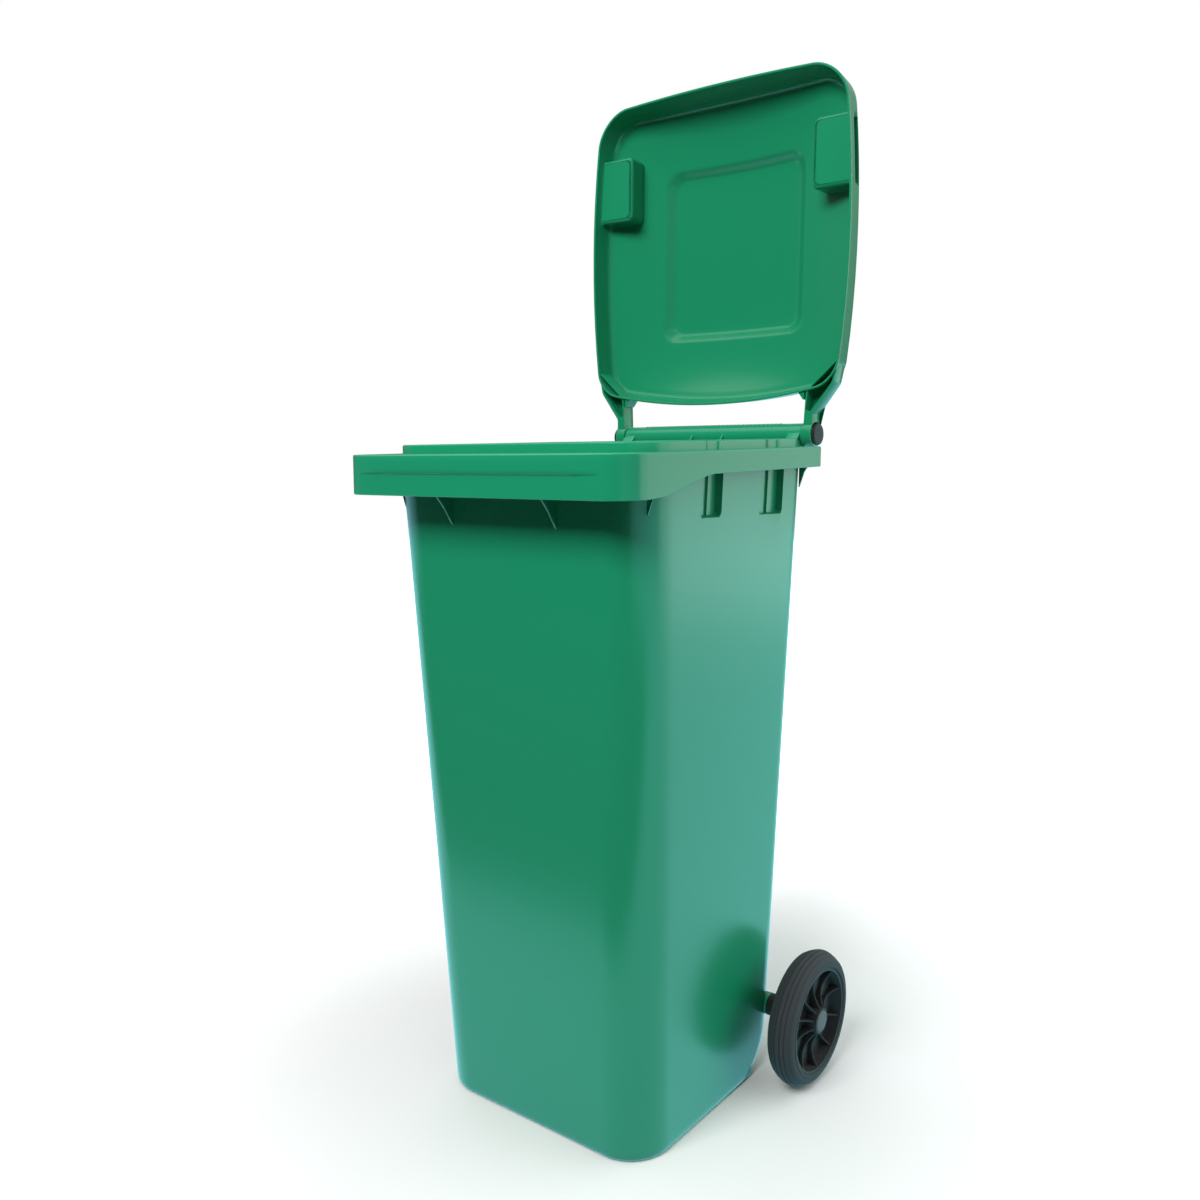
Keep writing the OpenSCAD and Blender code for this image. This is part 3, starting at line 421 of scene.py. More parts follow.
def body_surface(s):
    """The moulded shell as one grid. A row is a plan of the body and a column runs up the outside, over
    the collar and down the inside. Outside rows follow heights z; collar rows follow the sloping rim."""
    low = s.rim_h - s.rim_t - s.flute_l
    top_start = low - 0.012
    t = np.radians(np.linspace(0, 90, 9))
    foot_z = s.foot_r * (1 - np.cos(np.radians([0, 18, 36, 54])))
    heel_z = s.heel_r * (1 - np.cos(t[1:]))
    outer_z = np.unique(np.round(np.concatenate([
        foot_z, heel_z, [0.09, 0.105, 0.1132, 0.1142, 0.122, 0.132, 0.142, 0.1522, 0.1542, 0.1556, 0.1572,
                         0.162, 0.175],
        np.linspace(0.2, top_start, 14)]), 6))
    lower = body_rows(s, outer_z, 0.0, s.heel_r, s.foot_r)
    lower = np.concatenate([lower, np.broadcast_to(outer_z[:, None, None], lower.shape[:2] + (1,))], -1)
    # Rows from the flutes up to the rim share out the height that is left under the sloping rim.
    steps = np.array([0.010, 0.0118, 0.0128, 0.0136, 0.0146, 0.0156, 0.017, 0.019, 0.0215, 0.024, 0.03,
                      0.045, 0.06, 0.075]) / 0.082
    share = np.concatenate([steps, [1.0]])
    plan = body_rows(s, mix(top_start, s.rim_h, share), 0.0, 0, 0)
    upper_z = mix(top_start, rim_height(s, plan[..., 1]) - 0.002, share[:, None])
    upper = np.concatenate([plan, upper_z[..., None]], -1)
    outer = np.concatenate([lower, upper])
    side = np.abs(outer[..., 0]) > body_half(s, outer[..., 2]) - 0.0004
    press = np.where(side & (outer[..., 2] > top_start), flute_press(s, outer[..., 1], outer[..., 2], 0.0),
                     0.0)
    outer[..., 0] -= np.sign(outer[..., 0]) * press
    recess = np.abs(outer[..., 0]) <= HOUSING_HALF + 1e-6
    limit = housing_limit(outer[..., 2], 0.0)
    outer[..., 1] = np.where(recess, np.minimum(outer[..., 1], limit), outer[..., 1])
    # The collar: up, round its outer edge, across, round its inner edge and down again.
    back = body_rear(s, s.rim_h)
    rows, heights = [], []
    r = 0.0022
    for a in np.radians([0, 0, 30, 60, 90]):
        rows.append(COLLAR_IN + r * (1 - math.cos(a)))
        heights.append(s.collar_h - r + r * math.sin(a))
    heights[0] = -0.001
    thick = s.wall + 0.0015
    for a in np.radians([90, 60, 30, 0]):
        rows.append(COLLAR_IN + thick - 0.0018 * (1 - math.cos(a)))
        heights.append(s.collar_h - 0.0018 + 0.0018 * math.sin(a))
    rows, heights = np.array(rows), np.array(heights)
    plan = body_plan(s, s.top_w / 2 - rows, body_front(s, s.rim_h) + rows, back - rows,
                     s.front_r - rows * 0, s.rear_r - rows * 0)
    collar = np.concatenate([plan, (rim_height(s, plan[..., 1]) + heights[:, None])[..., None]], -1)
    notch = sum(1 - ease(0.0128, 0.0142, np.abs(collar[..., 1] - m)) for m in (-s.flute_pitch / 2,
                                                                               s.flute_pitch / 2))
    going_up = (np.arange(len(rows)) < 5)[:, None]
    side = (np.abs(collar[..., 0]) > s.top_w / 2 - rows[:, None] - 0.0004) & going_up
    collar[..., 0] -= np.sign(collar[..., 0]) * np.where(side, 0.0018 * notch, 0.0)
    # The inside, from the collar down to the floor plate.
    inner_z = np.concatenate([np.linspace(s.rim_h - 0.004, low + 0.02, 8), low + np.array([
        0.012, 0.008, 0.005, 0.003, 0.0012, 0, -0.0015, -0.003, -0.005]), np.linspace(top_start - 0.01, 0.2,
                                                                                      12),
        [0.18, 0.166, 0.1606, 0.1586, 0.1572, 0.15, 0.14, 0.13, 0.1186, 0.1172, 0.1, 0.06, 0.02, 0.008,
         s.wall]])
    draw = s.wall + (COLLAR_IN + 0.0015) * ease(s.rim_h - 0.06, s.rim_h + 0.04, inner_z)
    draw = draw + 0.012 * ease(s.wall + 0.012, s.wall, inner_z) ** 2
    plan = body_plan(s, body_half(s, inner_z) - draw, body_front(s, inner_z) + draw,
                     body_rear(s, inner_z) - draw,
                     s.front_r - draw, s.rear_r - draw)
    tilt = ease(s.rim_h - 0.12, s.rim_h, inner_z)[:, None]
    z = inner_z[:, None] + tilt * (rim_height(s, plan[..., 1]) - s.rim_h)
    inner = np.concatenate([plan, z[..., None]], -1)
    side = np.abs(inner[..., 0]) > body_half(s, inner_z)[:, None] - draw[:, None] - 0.0004
    press = np.where(side & (inner_z > 0.5)[:, None], flute_press(s, inner[..., 1], inner[..., 2], s.wall),
                     0.0)
    inner[..., 0] -= np.sign(inner[..., 0]) * press
    inner[..., 1] = np.minimum(inner[..., 1], housing_limit(inner[..., 2], s.wall))
    under = outer[:1].copy()
    under[..., :2] = under[..., :2] * [0.5, 0.5] + [0, -0.02]
    floor = inner[-1:].copy()
    floor[..., :2] = floor[..., :2] * [0.5, 0.5] + [0, -0.015]
    return shell(np.concatenate([under, outer, collar, inner, floor]))


def rim_length(s):
    """How far the rim reaches from its rear edge to its front edge."""
    return s.base_d + s.front_flare + s.rear_flare + s.rim_front


def rim_plan(s, draw):
    """Outlines of the rim in its own plane, whose y is 0 at the rear, drawn in by each value of draw."""
    draw = np.asarray(draw, float)
    length_y = rim_length(s)
    corner = 0.004
    return body_plan(s, s.top_w / 2 + s.rim_side - draw, -length_y + draw + body_rear(s, s.rim_h),
                     body_rear(s, s.rim_h) - np.minimum(draw, 0.0015), s.rim_r - draw,
                     np.maximum(corner - draw, 0.0005))


def rim_surface(s):
    """The rim as one closed profile carried round its outline: out along the deck, round the edge, down
    the skirt, round its lip, up the inside and back under the deck. The skirt's depth follows y."""
    edge = 0.0022
    back = body_rear(s, s.rim_h)
    length_y = rim_length(s)
    draws = [edge * (1 - math.sin(a)) for a in np.radians([0, 25, 50, 70, 90])]
    drops = [edge * (1 - math.cos(a)) for a in np.radians([0, 25, 50, 70, 90])]
    outline = rim_plan(s, draws + [0.0] * 9)
    collar = body_plan(s, np.array([s.top_w / 2 - 0.004]), body_front(s, s.rim_h) + 0.004, back - 0.004,
                       s.front_r, s.rear_r)
    y_rim = outline[0, :, 1] - back
    # Depth of the skirt at each column.
    slope = np.clip((-y_rim - (length_y - 0.173)) / 0.108, 0, 1)
    soft = slope * slope * (3 - 2 * slope) * 0.25 + slope * 0.75
    depth = mix(s.skirt_side, s.skirt_front, soft)
    rear = (y_rim > -0.003) & (np.abs(outline[0, :, 0]) < s.top_w / 2 + s.rim_side - 0.0045)
    depth = np.where(rear, s.rim_t + 0.0005, depth)
    bands = np.array([0.010, 0.018, 0.0228, 0.0238, 0.0246, 0.0254, 0.031])
    band_depth = np.minimum(bands[:, None], depth[None, :] - 0.0012)
    rows = [np.concatenate([collar[0], np.zeros((collar.shape[1], 1))], 1)]
    for k, drop in enumerate(drops):
        rows.append(np.concatenate([outline[k], np.full((outline.shape[1], 1), -drop)], 1))
    x, y = outline[5, :, 0], outline[5, :, 1]
    front = 1 - ease(-length_y + back + 0.0005, -length_y + back + 0.004, y)
    band = front * (1 - ease(0.196, 0.2015, np.abs(x)))
    rows[-1][:, 1] -= 0.0018 * band
    rows[-2][:, 1] -= 0.0017 * band
    rows[-3][:, 1] -= 0.0013 * band
    for height, drop in zip(bands, band_depth):
        forward = 0.0018 * band * (1 - ease(0.0232, 0.0248, height))
        rows.append(np.stack([x, y - forward, -drop], -1))
    # The skirt's lower lip.
    half_t = s.rim_t / 2
    for a in np.radians([0, 45, 90, 135, 180]):
        plan = rim_plan(s, [half_t * (1 - math.cos(a))])[0]
        lip = depth + 0.0009 * (math.sin(a) - 1) * (~rear)
        rows.append(np.concatenate([plan, -lip[:, None]], 1))
    plan = rim_plan(s, [s.rim_t, s.rim_t + 0.0015])
    rows.append(np.concatenate([plan[0], np.full((plan.shape[1], 1), -s.rim_t - 0.0015)], 1))
    rows.append(np.concatenate([plan[1], np.full((plan.shape[1], 1), -s.rim_t)], 1))
    rows.append(np.concatenate([collar[0], np.full((collar.shape[1], 1), -s.rim_t)], 1))
    rings = np.array(rows)
    rings[..., 2] += rim_height(s, rings[..., 1])
    return shell(rings, closed=True)


def gusset_surfaces(s):
    """Thin plates under the rim: a plan with a hollow free edge, given a thickness."""
    back = body_rear(s, s.rim_h)
    length_y = rim_length(s)
    parts = []
    bow = np.linspace(0, 1, 9)[:, None]
    for x in (-0.090, 0.090):
        wall_y = body_front(s, s.rim_h - s.skirt_front) + 0.001
        out_y = back - length_y + s.rim_t - 0.001
        top = rim_height(s, out_y) - 0.0015
        foot = np.array([wall_y - 0.001, top - s.skirt_front - 0.034])
        tip = np.array([out_y, top - s.skirt_front * 0.62])
        free = mix(tip, foot, bow) + np.sin(np.pi * bow) * np.array([0.004, 0.005])
        plan = np.concatenate([[[wall_y + 0.003, top - s.skirt_front - 0.036], [wall_y + 0.003, top],
                                [out_y, top]], free])
        parts.append(plate(plan, x - 0.0014, x + 0.0014, 0.0006))
    for side in (-1, 1):
        for y, drop, reach in ((body_front(s, s.rim_h) + s.front_r * 0.5, 0.072, 0.040),
                               (back - s.rear_r * 0.55, 0.056, 0.020)):
            wall_x = body_half(s, s.rim_h - drop) - 0.002
            if reach > 0.03:
                wall_x -= 0.009
            out_x = s.top_w / 2 + s.rim_side - s.rim_t / 2
            top = rim_height(s, y) - 0.0015
            foot, tip = np.array([wall_x + 0.001, top - drop]), np.array([out_x, top - 0.020])
            free = mix(tip, foot, bow) + np.sin(np.pi * bow) * np.array([-0.003, 0.004])
            plan = np.concatenate([[[wall_x, top - drop], [wall_x, top], [out_x, top]], free]) * [side, 1]
            parts.append(plate(plan, y - 0.0014, y + 0.0014, 0.0006, axis="y"))
    return together(parts)


def axle_housing_surfaces(s):
    """The upright ribs in the recess over the axle, and the round bosses that the sleeves meet."""
    front = AXLE_Y - HOUSING_FRONT - 0.001
    top = AXLE_Z + HOUSING_OVER
    z = np.linspace(0.0065, top - 0.001, 24)
    rear = body_rear(s, z) - round_back(s.heel_r, z) - 0.0008
    plan = np.concatenate([np.stack([rear, z], -1), [[front + HOUSING_ROOF, top], [front, top - HOUSING_ROOF],
                                                     [front, 0.0065]]])
    keep = np.concatenate([rear > front + 0.001, [True, True, True]])
    plan = plan[keep]
    parts = [plate(plan, x - 0.0025, x + 0.0025, 0.0006) for x in (-HOUSING_RIB_X, HOUSING_RIB_X)]
    flat = body_half(s, AXLE_Z + 0.0165) + 0.0005
    for side in (-1, 1):
        parts.append(turned([[0.01005, flat - 0.012], [0.0165, flat - 0.012], [0.0165, flat - 0.0006],
                             [0.0163, flat - 0.0002], [0.0159, flat], [0.0107, flat], [0.01005,
                                                                                       flat - 0.0005]],
                            AXLE, side))
    return together(parts)


def bar_surface(h):
    """The handle bar: a circle carried along X, whose radius grows by low flat-topped ridges on the side
    that faces up and back, and whose ends are rounded off."""
    half = h.bar_l / 2
    reach = 0.132
    starts = np.arange(-reach, reach - h.ridge_pitch, h.ridge_pitch)
    offsets = np.array([0.0, 0.0008, 0.0015, 0.0030, 0.0037, 0.0045])
    rises = np.array([0.0, 0.55, 1.0, 1.0, 0.55, 0.0])
    x = (starts[:, None] + offsets[None, :]).ravel()
    rise = np.tile(rises, len(starts))
    a = np.radians([0, 25, 50, 75, 90])
    end_x, end_r = half - 0.0015 * (1 - np.sin(a[::-1])), h.bar_d / 2 - 0.0015 * (1 - np.cos(a[::-1]))
    x = np.concatenate([-end_x, [-0.140], x, [0.140], end_x[::-1]])
    r = np.concatenate([end_r, [h.bar_d / 2], np.full(rise.size, h.bar_d / 2), [h.bar_d / 2], end_r[::-1]])
    rise = np.concatenate([np.zeros(6), rise, np.zeros(6)])
    t = np.linspace(0, 2 * np.pi, 64, endpoint=False)
    mask = ease(-0.02, 0.22, np.cos(t - math.radians(40)))
    radius = r[:, None] + h.ridge_h * rise[:, None] * mask[None, :]
    rings = np.stack([x[:, None] + 0 * radius, HINGE_Y + radius * np.cos(t), HINGE_Z + radius * np.sin(t)],
                     -1)
    return shell(rings)


def bracket_surfaces(s, h):
    """End brackets and centre webs: a plan in the YZ plane from the bar to the rear wall."""
    r = h.bar_d / 2
    back = body_rear(s, s.rim_h)
    reach = HINGE_Y - back + 0.002
    up = HINGE_Z - s.rim_h
    t = np.radians(np.linspace(-60, 100, 15))[:, None]
    nose = np.concatenate([np.cos(t), np.sin(t)], 1) * (r - 0.0004)
    parts = []
    for x, thick in ((h.bar_l / 2 - h.bracket_t / 2, h.bracket_t), (h.web_x, s.rim_t)):
        rest = rounded([[-r * 0.7, r - 0.004], [-r - 0.016, -up - 0.010], [-reach, -up - 0.010],
                        [-reach, -up - 0.086]], [0.004, 0.012, 0.0005, 0.0005], 4)
        plan = np.concatenate([nose, rest]) + [HINGE_Y, HINGE_Z]
        for side in (-1, 1):
            parts.append(plate(plan, side * x - thick / 2 + 0.0002, side * x + thick / 2 - 0.0002,
                               0.0012 if thick > 0.01 else 0.0006))
    return together(parts)


# ---- lid ----------------------------------------------------------------------------------------

SIDE_STEPS = 26
LID_TURN = 0.012
LID_UNDER_TURN = 0.006
SLOT_LOW, SLOT_HIGH = 0.0004, 0.0165
PANEL_SLOPE = 0.018


def opened(l, points):
    """Turns points of the flat lid, whose hinge axis is the X axis, to where the lid stands at rest."""
    c, k = math.cos(-l.lid_open), math.sin(-l.lid_open)
    y, z = points[..., 1], points[..., 2]
    return np.stack([points[..., 0], HINGE_Y + c * y - k * z, HINGE_Z + k * y + c * z], -1)


def even_plan(half_w, y0, y1, r_front, r_rear):
    """A rounded rectangle with CORNER_STEPS points on each corner and SIDE_STEPS on each side, those of
    the long sides closer together about the grip slots' ends."""
    a = np.linspace(0, np.pi / 2, CORNER_STEPS)
    even = np.linspace(0, 1, SIDE_STEPS + 2)[1:-1]
    corners = [(half_w - r_rear, y1 - r_rear, r_rear), (-half_w + r_rear, y1 - r_rear, r_rear),
               (-half_w + r_front, y0 + r_front, r_front), (half_w - r_front, y0 + r_front, r_front)]
    arcs = [np.stack([x + r * np.cos(a + q * np.pi / 2), y + r * np.sin(a + q * np.pi / 2)], -1)
            for q, (x, y, r) in enumerate(corners)]
    out = []
    crowd = np.concatenate([np.linspace(0.0, 0.04, 3)[1:], np.linspace(0.055, 0.11, 8),
                            np.linspace(0.16, 0.28, 3),
                            np.linspace(0.32, 0.375, 8), np.linspace(0.46, 0.9, 5)])
    for q in range(4):
        start, stop = arcs[q][-1], arcs[(q + 1) % 4][0]
        t = even if q in (0, 2) else (crowd if q == 3 else 1 - crowd[::-1])
        out += [arcs[q], start + (stop - start) * t[:, None]]
    return np.concatenate(out)


def lid_plan(l, draw):
    """The lid's outline drawn in by draw, with its sides and ends bowed outwards by parabolas."""
    half_w, half_l = l.lid_w / 2 - l.side_bow, l.lid_l / 2
    p = even_plan(half_w - draw, -half_l + draw, half_l - draw, 0.054 - draw * 0.6, 0.034 - draw * 0.6)
    u, w = p[:, 1] / half_l, p[:, 0] / half_w
    x = p[:, 0] + np.sign(p[:, 0]) * l.side_bow * (1 - u * u) * np.minimum(1, np.abs(w))
    y = p[:, 1] + np.where(p[:, 1] > 0, l.hinge_bow, -l.front_bow) * (1 - np.minimum(1, w * w)) * np.abs(u)
    return np.stack([x, y - l.lid_gap - half_l], -1)


def panel_plan(l, draw):
    return even_plan(l.panel_half_w - draw, -l.panel_far + draw, -l.panel_near - draw, 0.028 - draw * 0.3,
                     0.024 - draw * 0.3)


def dome(l, p):
    """Height of the domed top: a parabola across times a flatter fourth-power curve along."""
    middle = l.lid_gap + l.lid_l / 2
    w, u = p[..., 0] / (l.lid_w / 2), (p[..., 1] + middle) / (l.lid_l / 2 + 0.030)
    return l.shoulder + l.dome_h * np.maximum(0, 1 - w * w) * np.maximum(0, 1 - u ** 4)


def lid_side(l, skin):
    """Rows of the lid from its free edge to the start of the dome, for the outer or the inner skin."""
    draft, turn = l.side_draft, LID_TURN
    rows = []
    wall_top = l.shoulder - LID_UNDER_TURN - skin
    levels = np.array([-l.skirt + (0.0012 if skin == 0 else 0.0006), -0.012, -0.006, -0.001, 0.0006, 0.0012,
                       0.002, 0.003,
                       0.0045, 0.0065, 0.009]) if skin == 0 else \
        np.array([-l.skirt + 0.0006, -0.012, -0.006, -0.003, -0.001, 0.001, 0.004, 0.007])
    for z in levels:
        draw = skin + draft * (z + l.skirt) / (wall_top + l.skirt)
        p = lid_plan(l, draw)
        rows.append(np.column_stack([p, np.full(len(p), z)]))
    edge = lid_plan(l, draft + turn + skin)
    high = dome(l, edge) - skin
    for a in np.radians([0, 15, 30, 45, 60, 75]):
        p = lid_plan(l, skin + draft + turn * (1 - math.cos(a)))
        z = wall_top + (high - wall_top) * math.sin(a)
        rows.append(np.column_stack([p, z]))
    rows.append(np.column_stack([edge, high]))
    return rows


def lid_top(l, skin):
    """Rows of the lid from the start of the dome to its middle, with the step up to the raised panel."""
    edge, panel = lid_plan(l, l.side_draft + LID_TURN + skin), panel_plan(l, 0.0)
    rows = []
    for t in (0.08, 0.2, 0.35, 0.5, 0.65, 0.8, 0.9, 0.96):
        p = mix(edge, panel, t)
        rows.append(np.column_stack([p, dome(l, p) - skin]))
    for t in np.linspace(0, 1, 9):
        p = panel_plan(l, PANEL_SLOPE * t)
        rise = l.panel_step * ease(0.0, 1.0, t)
        rows.append(np.column_stack([p, dome(l, p) - skin + rise]))
    inner = panel_plan(l, PANEL_SLOPE)
    centre = np.array([0.0, -(l.panel_near + l.panel_far) / 2])
    for k in (0.94, 0.8, 0.6, 0.4, 0.2, 0.06):
        p = mix(centre, inner, k)
        rows.append(np.column_stack([p, dome(l, p) - skin + l.panel_step]))
    return rows


def lid_surface(l):
    """The lid's shell as one grid, from the middle of the outside over the free edge to the middle of the
    inside. The grip slots are pressed inwards into both skins, deep enough to end in the pockets."""
    outer = (lid_side(l, 0.0) + lid_top(l, 0.0))[::-1]
    lip = []
    for a in np.radians([150, 110, 70, 30]):
        p = lid_plan(l, l.lid_t * (0.5 + 0.5 * math.cos(a)))
        lip.append(np.column_stack([p, np.full(len(p), -l.skirt + 0.0009 - 0.0009 * math.sin(a))]))
    inner = lid_side(l, l.lid_t) + lid_top(l, l.lid_t)
    rings = np.array(outer + lip + inner)
    n_outer = len(outer)
    x, y, z = rings[..., 0], rings[..., 1], rings[..., 2]
    half, low, high, r = l.grip_l / 2 - 0.005, SLOT_LOW, SLOT_HIGH, 0.0075
    for rows, grow, depth in ((slice(0, n_outer), 0.0, 0.048), (slice(n_outer, None), 0.0035, 0.052)):
        across = np.abs(y[rows] + l.grip_at) - (half + grow - r)
        up = np.abs(z[rows] - (low + high) / 2) - ((high - low) / 2 + grow - r)
        edge = np.hypot(np.maximum(across, 0), np.maximum(up, 0)) + np.minimum(np.maximum(across, up), 0) - r
        on_side = np.abs(x[rows]) > l.lid_w / 2 - 0.030
        press = depth * ease(0.0, 0.0012, -edge) * on_side
        x[rows] -= np.sign(x[rows]) * press
    return shell(opened(l, rings))


def wall_draw(l, z):
    """How far the lid's side wall stands inside its free edge at height z: a straight draft, and above it
    the quarter round of the shoulder."""
    wall_top = l.shoulder - LID_UNDER_TURN
    t = np.clip((z - wall_top) / 0.011, 0, 1)
    return l.side_draft * np.clip((z + l.skirt) / (wall_top + l.skirt), 0,
                                  1) + LID_TURN * (1 - np.sqrt(1 - t * t))


def grip_surfaces(l):
    """Grip pockets inside the lid: a rounded rectangle carried from the pocket's floor up into the dome,
    with a quarter round along the floor's edges. Its outer side lies inside the lid's side wall, and is
    pressed in behind the slot."""
    half, inner_r, fillet, floor = l.grip_l / 2, 0.009, 0.006, -0.0037
    turn = np.radians(np.linspace(0, 90, 9))
    slot = l.grip_l / 2 - 0.0035
    side_y = np.concatenate([[-half, -slot - 0.0004], np.linspace(-slot, slot, 21), [slot + 0.0004, half]])
    # Each point is (a, y, corner x, corner y): a is 1 on the outer side and 0 on the inner side.
    arc_x, arc_y = inner_r * (1 - np.sin(turn)), inner_r * (1 - np.cos(turn))
    end_a = np.array([0.75, 0.5, 0.25])
    a = np.concatenate([np.ones(25), end_a, np.zeros(9), np.zeros(3), np.zeros(9), end_a[::-1]])
    off = np.concatenate([np.zeros(25), np.zeros(3), arc_x, np.zeros(3), arc_x[::-1], np.zeros(3)])
    y = np.concatenate([side_y, np.full(3, half), half - arc_y, [half * 0.5, 0, -half * 0.5],
                        -half + arc_y[::-1], np.full(3, -half)])
    low, high = SLOT_LOW - 0.003, SLOT_HIGH + 0.003
    levels = [(floor, 0.72, 0.0), (floor, 0.9, 0.0)]
    for t in np.radians([0, 22, 45, 67, 90]):
        levels.append((floor + fillet * (1 - math.cos(t)), 1.0, fillet * (1 - math.sin(t))))
    levels += [(z, 1.0, 0.0) for z in (0.004, 0.008, 0.012, 0.0155, high, high + 0.0004, 0.026, 0.036, 0.048)]
    parts = []
    for side in (-1, 1):
        rings = []
        for z, scale, draw in levels:
            yy = -l.grip_at + y * scale - np.sign(y) * draw * (np.abs(y) > half * 0.9)
            u = (yy + l.lid_gap + l.lid_l / 2) / (l.lid_l / 2)
            bowed = l.lid_w / 2 - l.side_bow * u * u
            x_in = l.lid_w / 2 - l.grip_w + 0.0025 * (z - floor) / 0.03 + off + draw
            top = dome(l, np.stack([np.full(y.shape, x_in), yy], -1)) - 0.0019
            level = np.minimum(z, top)
            x_out = bowed - 0.0022 - wall_draw(l, level)
            x = mix(x_in, x_out, a)
            if scale < 1:
                x = mix(l.lid_w / 2 - l.grip_w / 2 - 0.006, x, scale)
            behind = (a > 0.99) & (np.abs(y) <= slot) & (z > low) & (z <= high)
            x = x - np.where(behind, 0.050, 0.0)
            rings.append(np.stack([side * x, yy, level], -1))
        parts.append(shell(opened(l, np.array(rings))))
    return together(parts)


def outside(points, plan):
    """Points that lie within a closed plan are moved to its nearest corner point; the others stay."""
    ahead = np.roll(plan, -1, 0)
    p = points[:, None, :]
    crosses = (plan[None, :, 1] > p[..., 1]) != (ahead[None, :, 1] > p[..., 1])
    rise = np.where(np.abs(ahead[:, 1] - plan[:, 1]) < 1e-12, 1e-12, ahead[:, 1] - plan[:, 1])
    at = plan[None, :, 0] + (p[..., 1] - plan[None, :, 1]) * ((ahead[:, 0] - plan[:, 0]) / rise)[None, :]
    inside = np.sum(crosses & (p[..., 0] < at), 1) % 2 == 1
    along = ahead - plan
    t = np.clip(np.sum((p - plan[None]) * along[None], -1) / np.maximum(np.sum(along ** 2, -1),
                                                                        1e-12)[None], 0, 1)
    foot = plan[None] + t[..., None] * along[None]
    nearest = foot[np.arange(len(points)), np.argmin(np.sum((p - foot) ** 2, -1), 1)]
    return np.where(inside[:, None], nearest, points)


def arm_surfaces(l, h):
    """Hinge arms: an outline with an open pocket on the side that faces the body, and a boss round the
    pin. Rows run from the pocket's roof out over its rim and round to the arm's top."""
    start = h.bar_l / 2 + 0.0006
    width = 0.0175
    inner_x = mix(start, l.lid_w / 2, 0.62)
    gap = l.lid_gap
    out = rounded([[start + 0.002, 0.0], [start + 0.002, -gap - 0.014], [inner_x, -gap - 0.040],
                   [l.lid_w / 2 - 0.0145, -gap - 0.026], [l.lid_w / 2 - 0.020, -gap], [start + width, -0.030],
                   [start + width, 0.0]], [0.001, 0.004, 0.004, 0.006, 0.016, 0.010, 0.001], 6)
    pocket = rounded([[start + 0.0058, -0.036], [start + 0.0058, -gap - 0.0135], [inner_x, -gap - 0.038],
                      [l.lid_w / 2 - 0.0185, -gap - 0.0255], [l.lid_w / 2 - 0.0240, -gap - 0.001],
                      [start + width - 0.0035, -0.0345], [start + width - 0.0045, -0.034]],
                     [0.002, 0.003, 0.003, 0.004, 0.014, 0.008, 0.0005], 6)
    low, high = -0.014, 0.013
    parts = []
    for side in (-1, 1):
        rows = [(pocket, 0.0008, high - 0.004), (pocket, 0.0, high - 0.0048), (pocket, 0.0, low + 0.0005),
                (pocket, -0.0004, low), (out, 0.0004, low), (out, 0.0, low + 0.0006), (out, 0.0,
                                                                                       high - 0.002),
                (out, 0.0006, high - 0.0006), (out, 0.002, high)]
        rings = []
        for plan, draw, z in rows:
            p = inset(plan, draw)
            p = outside(p, lid_plan(l, 0.0018 + float(wall_draw(l, np.array(z)))))
            rings.append(np.column_stack([side * p[:, 0], p[:, 1], np.full(len(p), z)]))
        parts.append(shell(opened(l, np.array(rings))))
        bore = h.pin_d / 2 + FIT
        parts.append(turned([[bore, start], [0.0185, start], [0.0192, start + 0.0003],
                             [0.0195, start + 0.001],
                             [0.0195, start + width - 0.001], [0.0192, start + width - 0.0003],
                             [0.0185, start + width], [bore, start + width]], HINGE, side))
        # A small gusset where the inner plate meets the lid's edge.
        corner = rounded([[start + 0.0005, -0.052], [start + 0.0025, -0.052], [start + 0.0025, -0.067],
                          [start - 0.011, -0.067]], 0.0006, 3) * [side, 1]
        ring = [np.column_stack([inset(corner, d), np.full(len(corner), z)]) for d, z in
                ((0.0004, -0.014), (0.0, -0.0136), (0.0, 0.010), (0.0004, 0.0104))]
        parts.append(shell(opened(l, np.array(ring))))
    return together(parts)


# ---- pins, sleeves and wheels ---------------------------------------------------------------------

def arc_points(cx, cy, r, start, stop, steps=5):
    """Points (r, x) of an arc whose middle is at (cx, cy), from one angle to another in degrees."""
    a = np.radians(np.linspace(start, stop, steps))
    return np.stack([cx + r * np.cos(a), cy + r * np.sin(a)], -1).tolist()


def pin_surface(h, side):
    """A hinge pin: a shank and a round head whose face is slightly crowned."""
    r, head = h.pin_d / 2, h.pin_head_d / 2
    inner, seat, face = PIN_LOW.x, PIN_HIGH.x - 0.0055, PIN_HIGH.x
    profile = [[0, inner], [r - 0.001, inner], [r, inner + 0.002], [r, seat], [head - 0.0006, seat]]
    profile += arc_points(head - 0.0006, seat + 0.0006, 0.0006, -90, 0, 3)
    profile += arc_points(head - 0.0018, face - 0.0023, 0.0018, 0, 80, 6)
    profile += [[head * 0.6, face - 0.00018], [head * 0.3, face - 0.00005], [0, face]]
    return turned(profile, HINGE, side, 72)


def sleeve_surface(w, side):
    """A sleeve on the axle: stepped, with two shallow grooves turned into its wider part."""
    low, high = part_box("axle_sleeve_right")
    x0, x1 = low.x, high.x
    bore, r = w.axle_d / 2 + FIT, w.sleeve_d / 2
    profile = [[bore, x0], [r - 0.0008, x0], [r - 0.0002, x0 + 0.0003], [r, x0 + 0.0008]]
    for x in (x0 + 0.010, x0 + 0.020):
        profile += [[r, x], [r - 0.0007, x + 0.0005], [r - 0.0007, x + 0.0015], [r, x + 0.0020]]
    profile += [[r, x1 - 0.0146], [r - 0.0004, x1 - 0.0140], [r - 0.0026, x1 - 0.0124],
                [r - 0.003, x1 - 0.0118],
                [r - 0.003, x1 - 0.0008], [r - 0.0036, x1], [bore, x1]]
    return turned(profile, AXLE, side, 72)


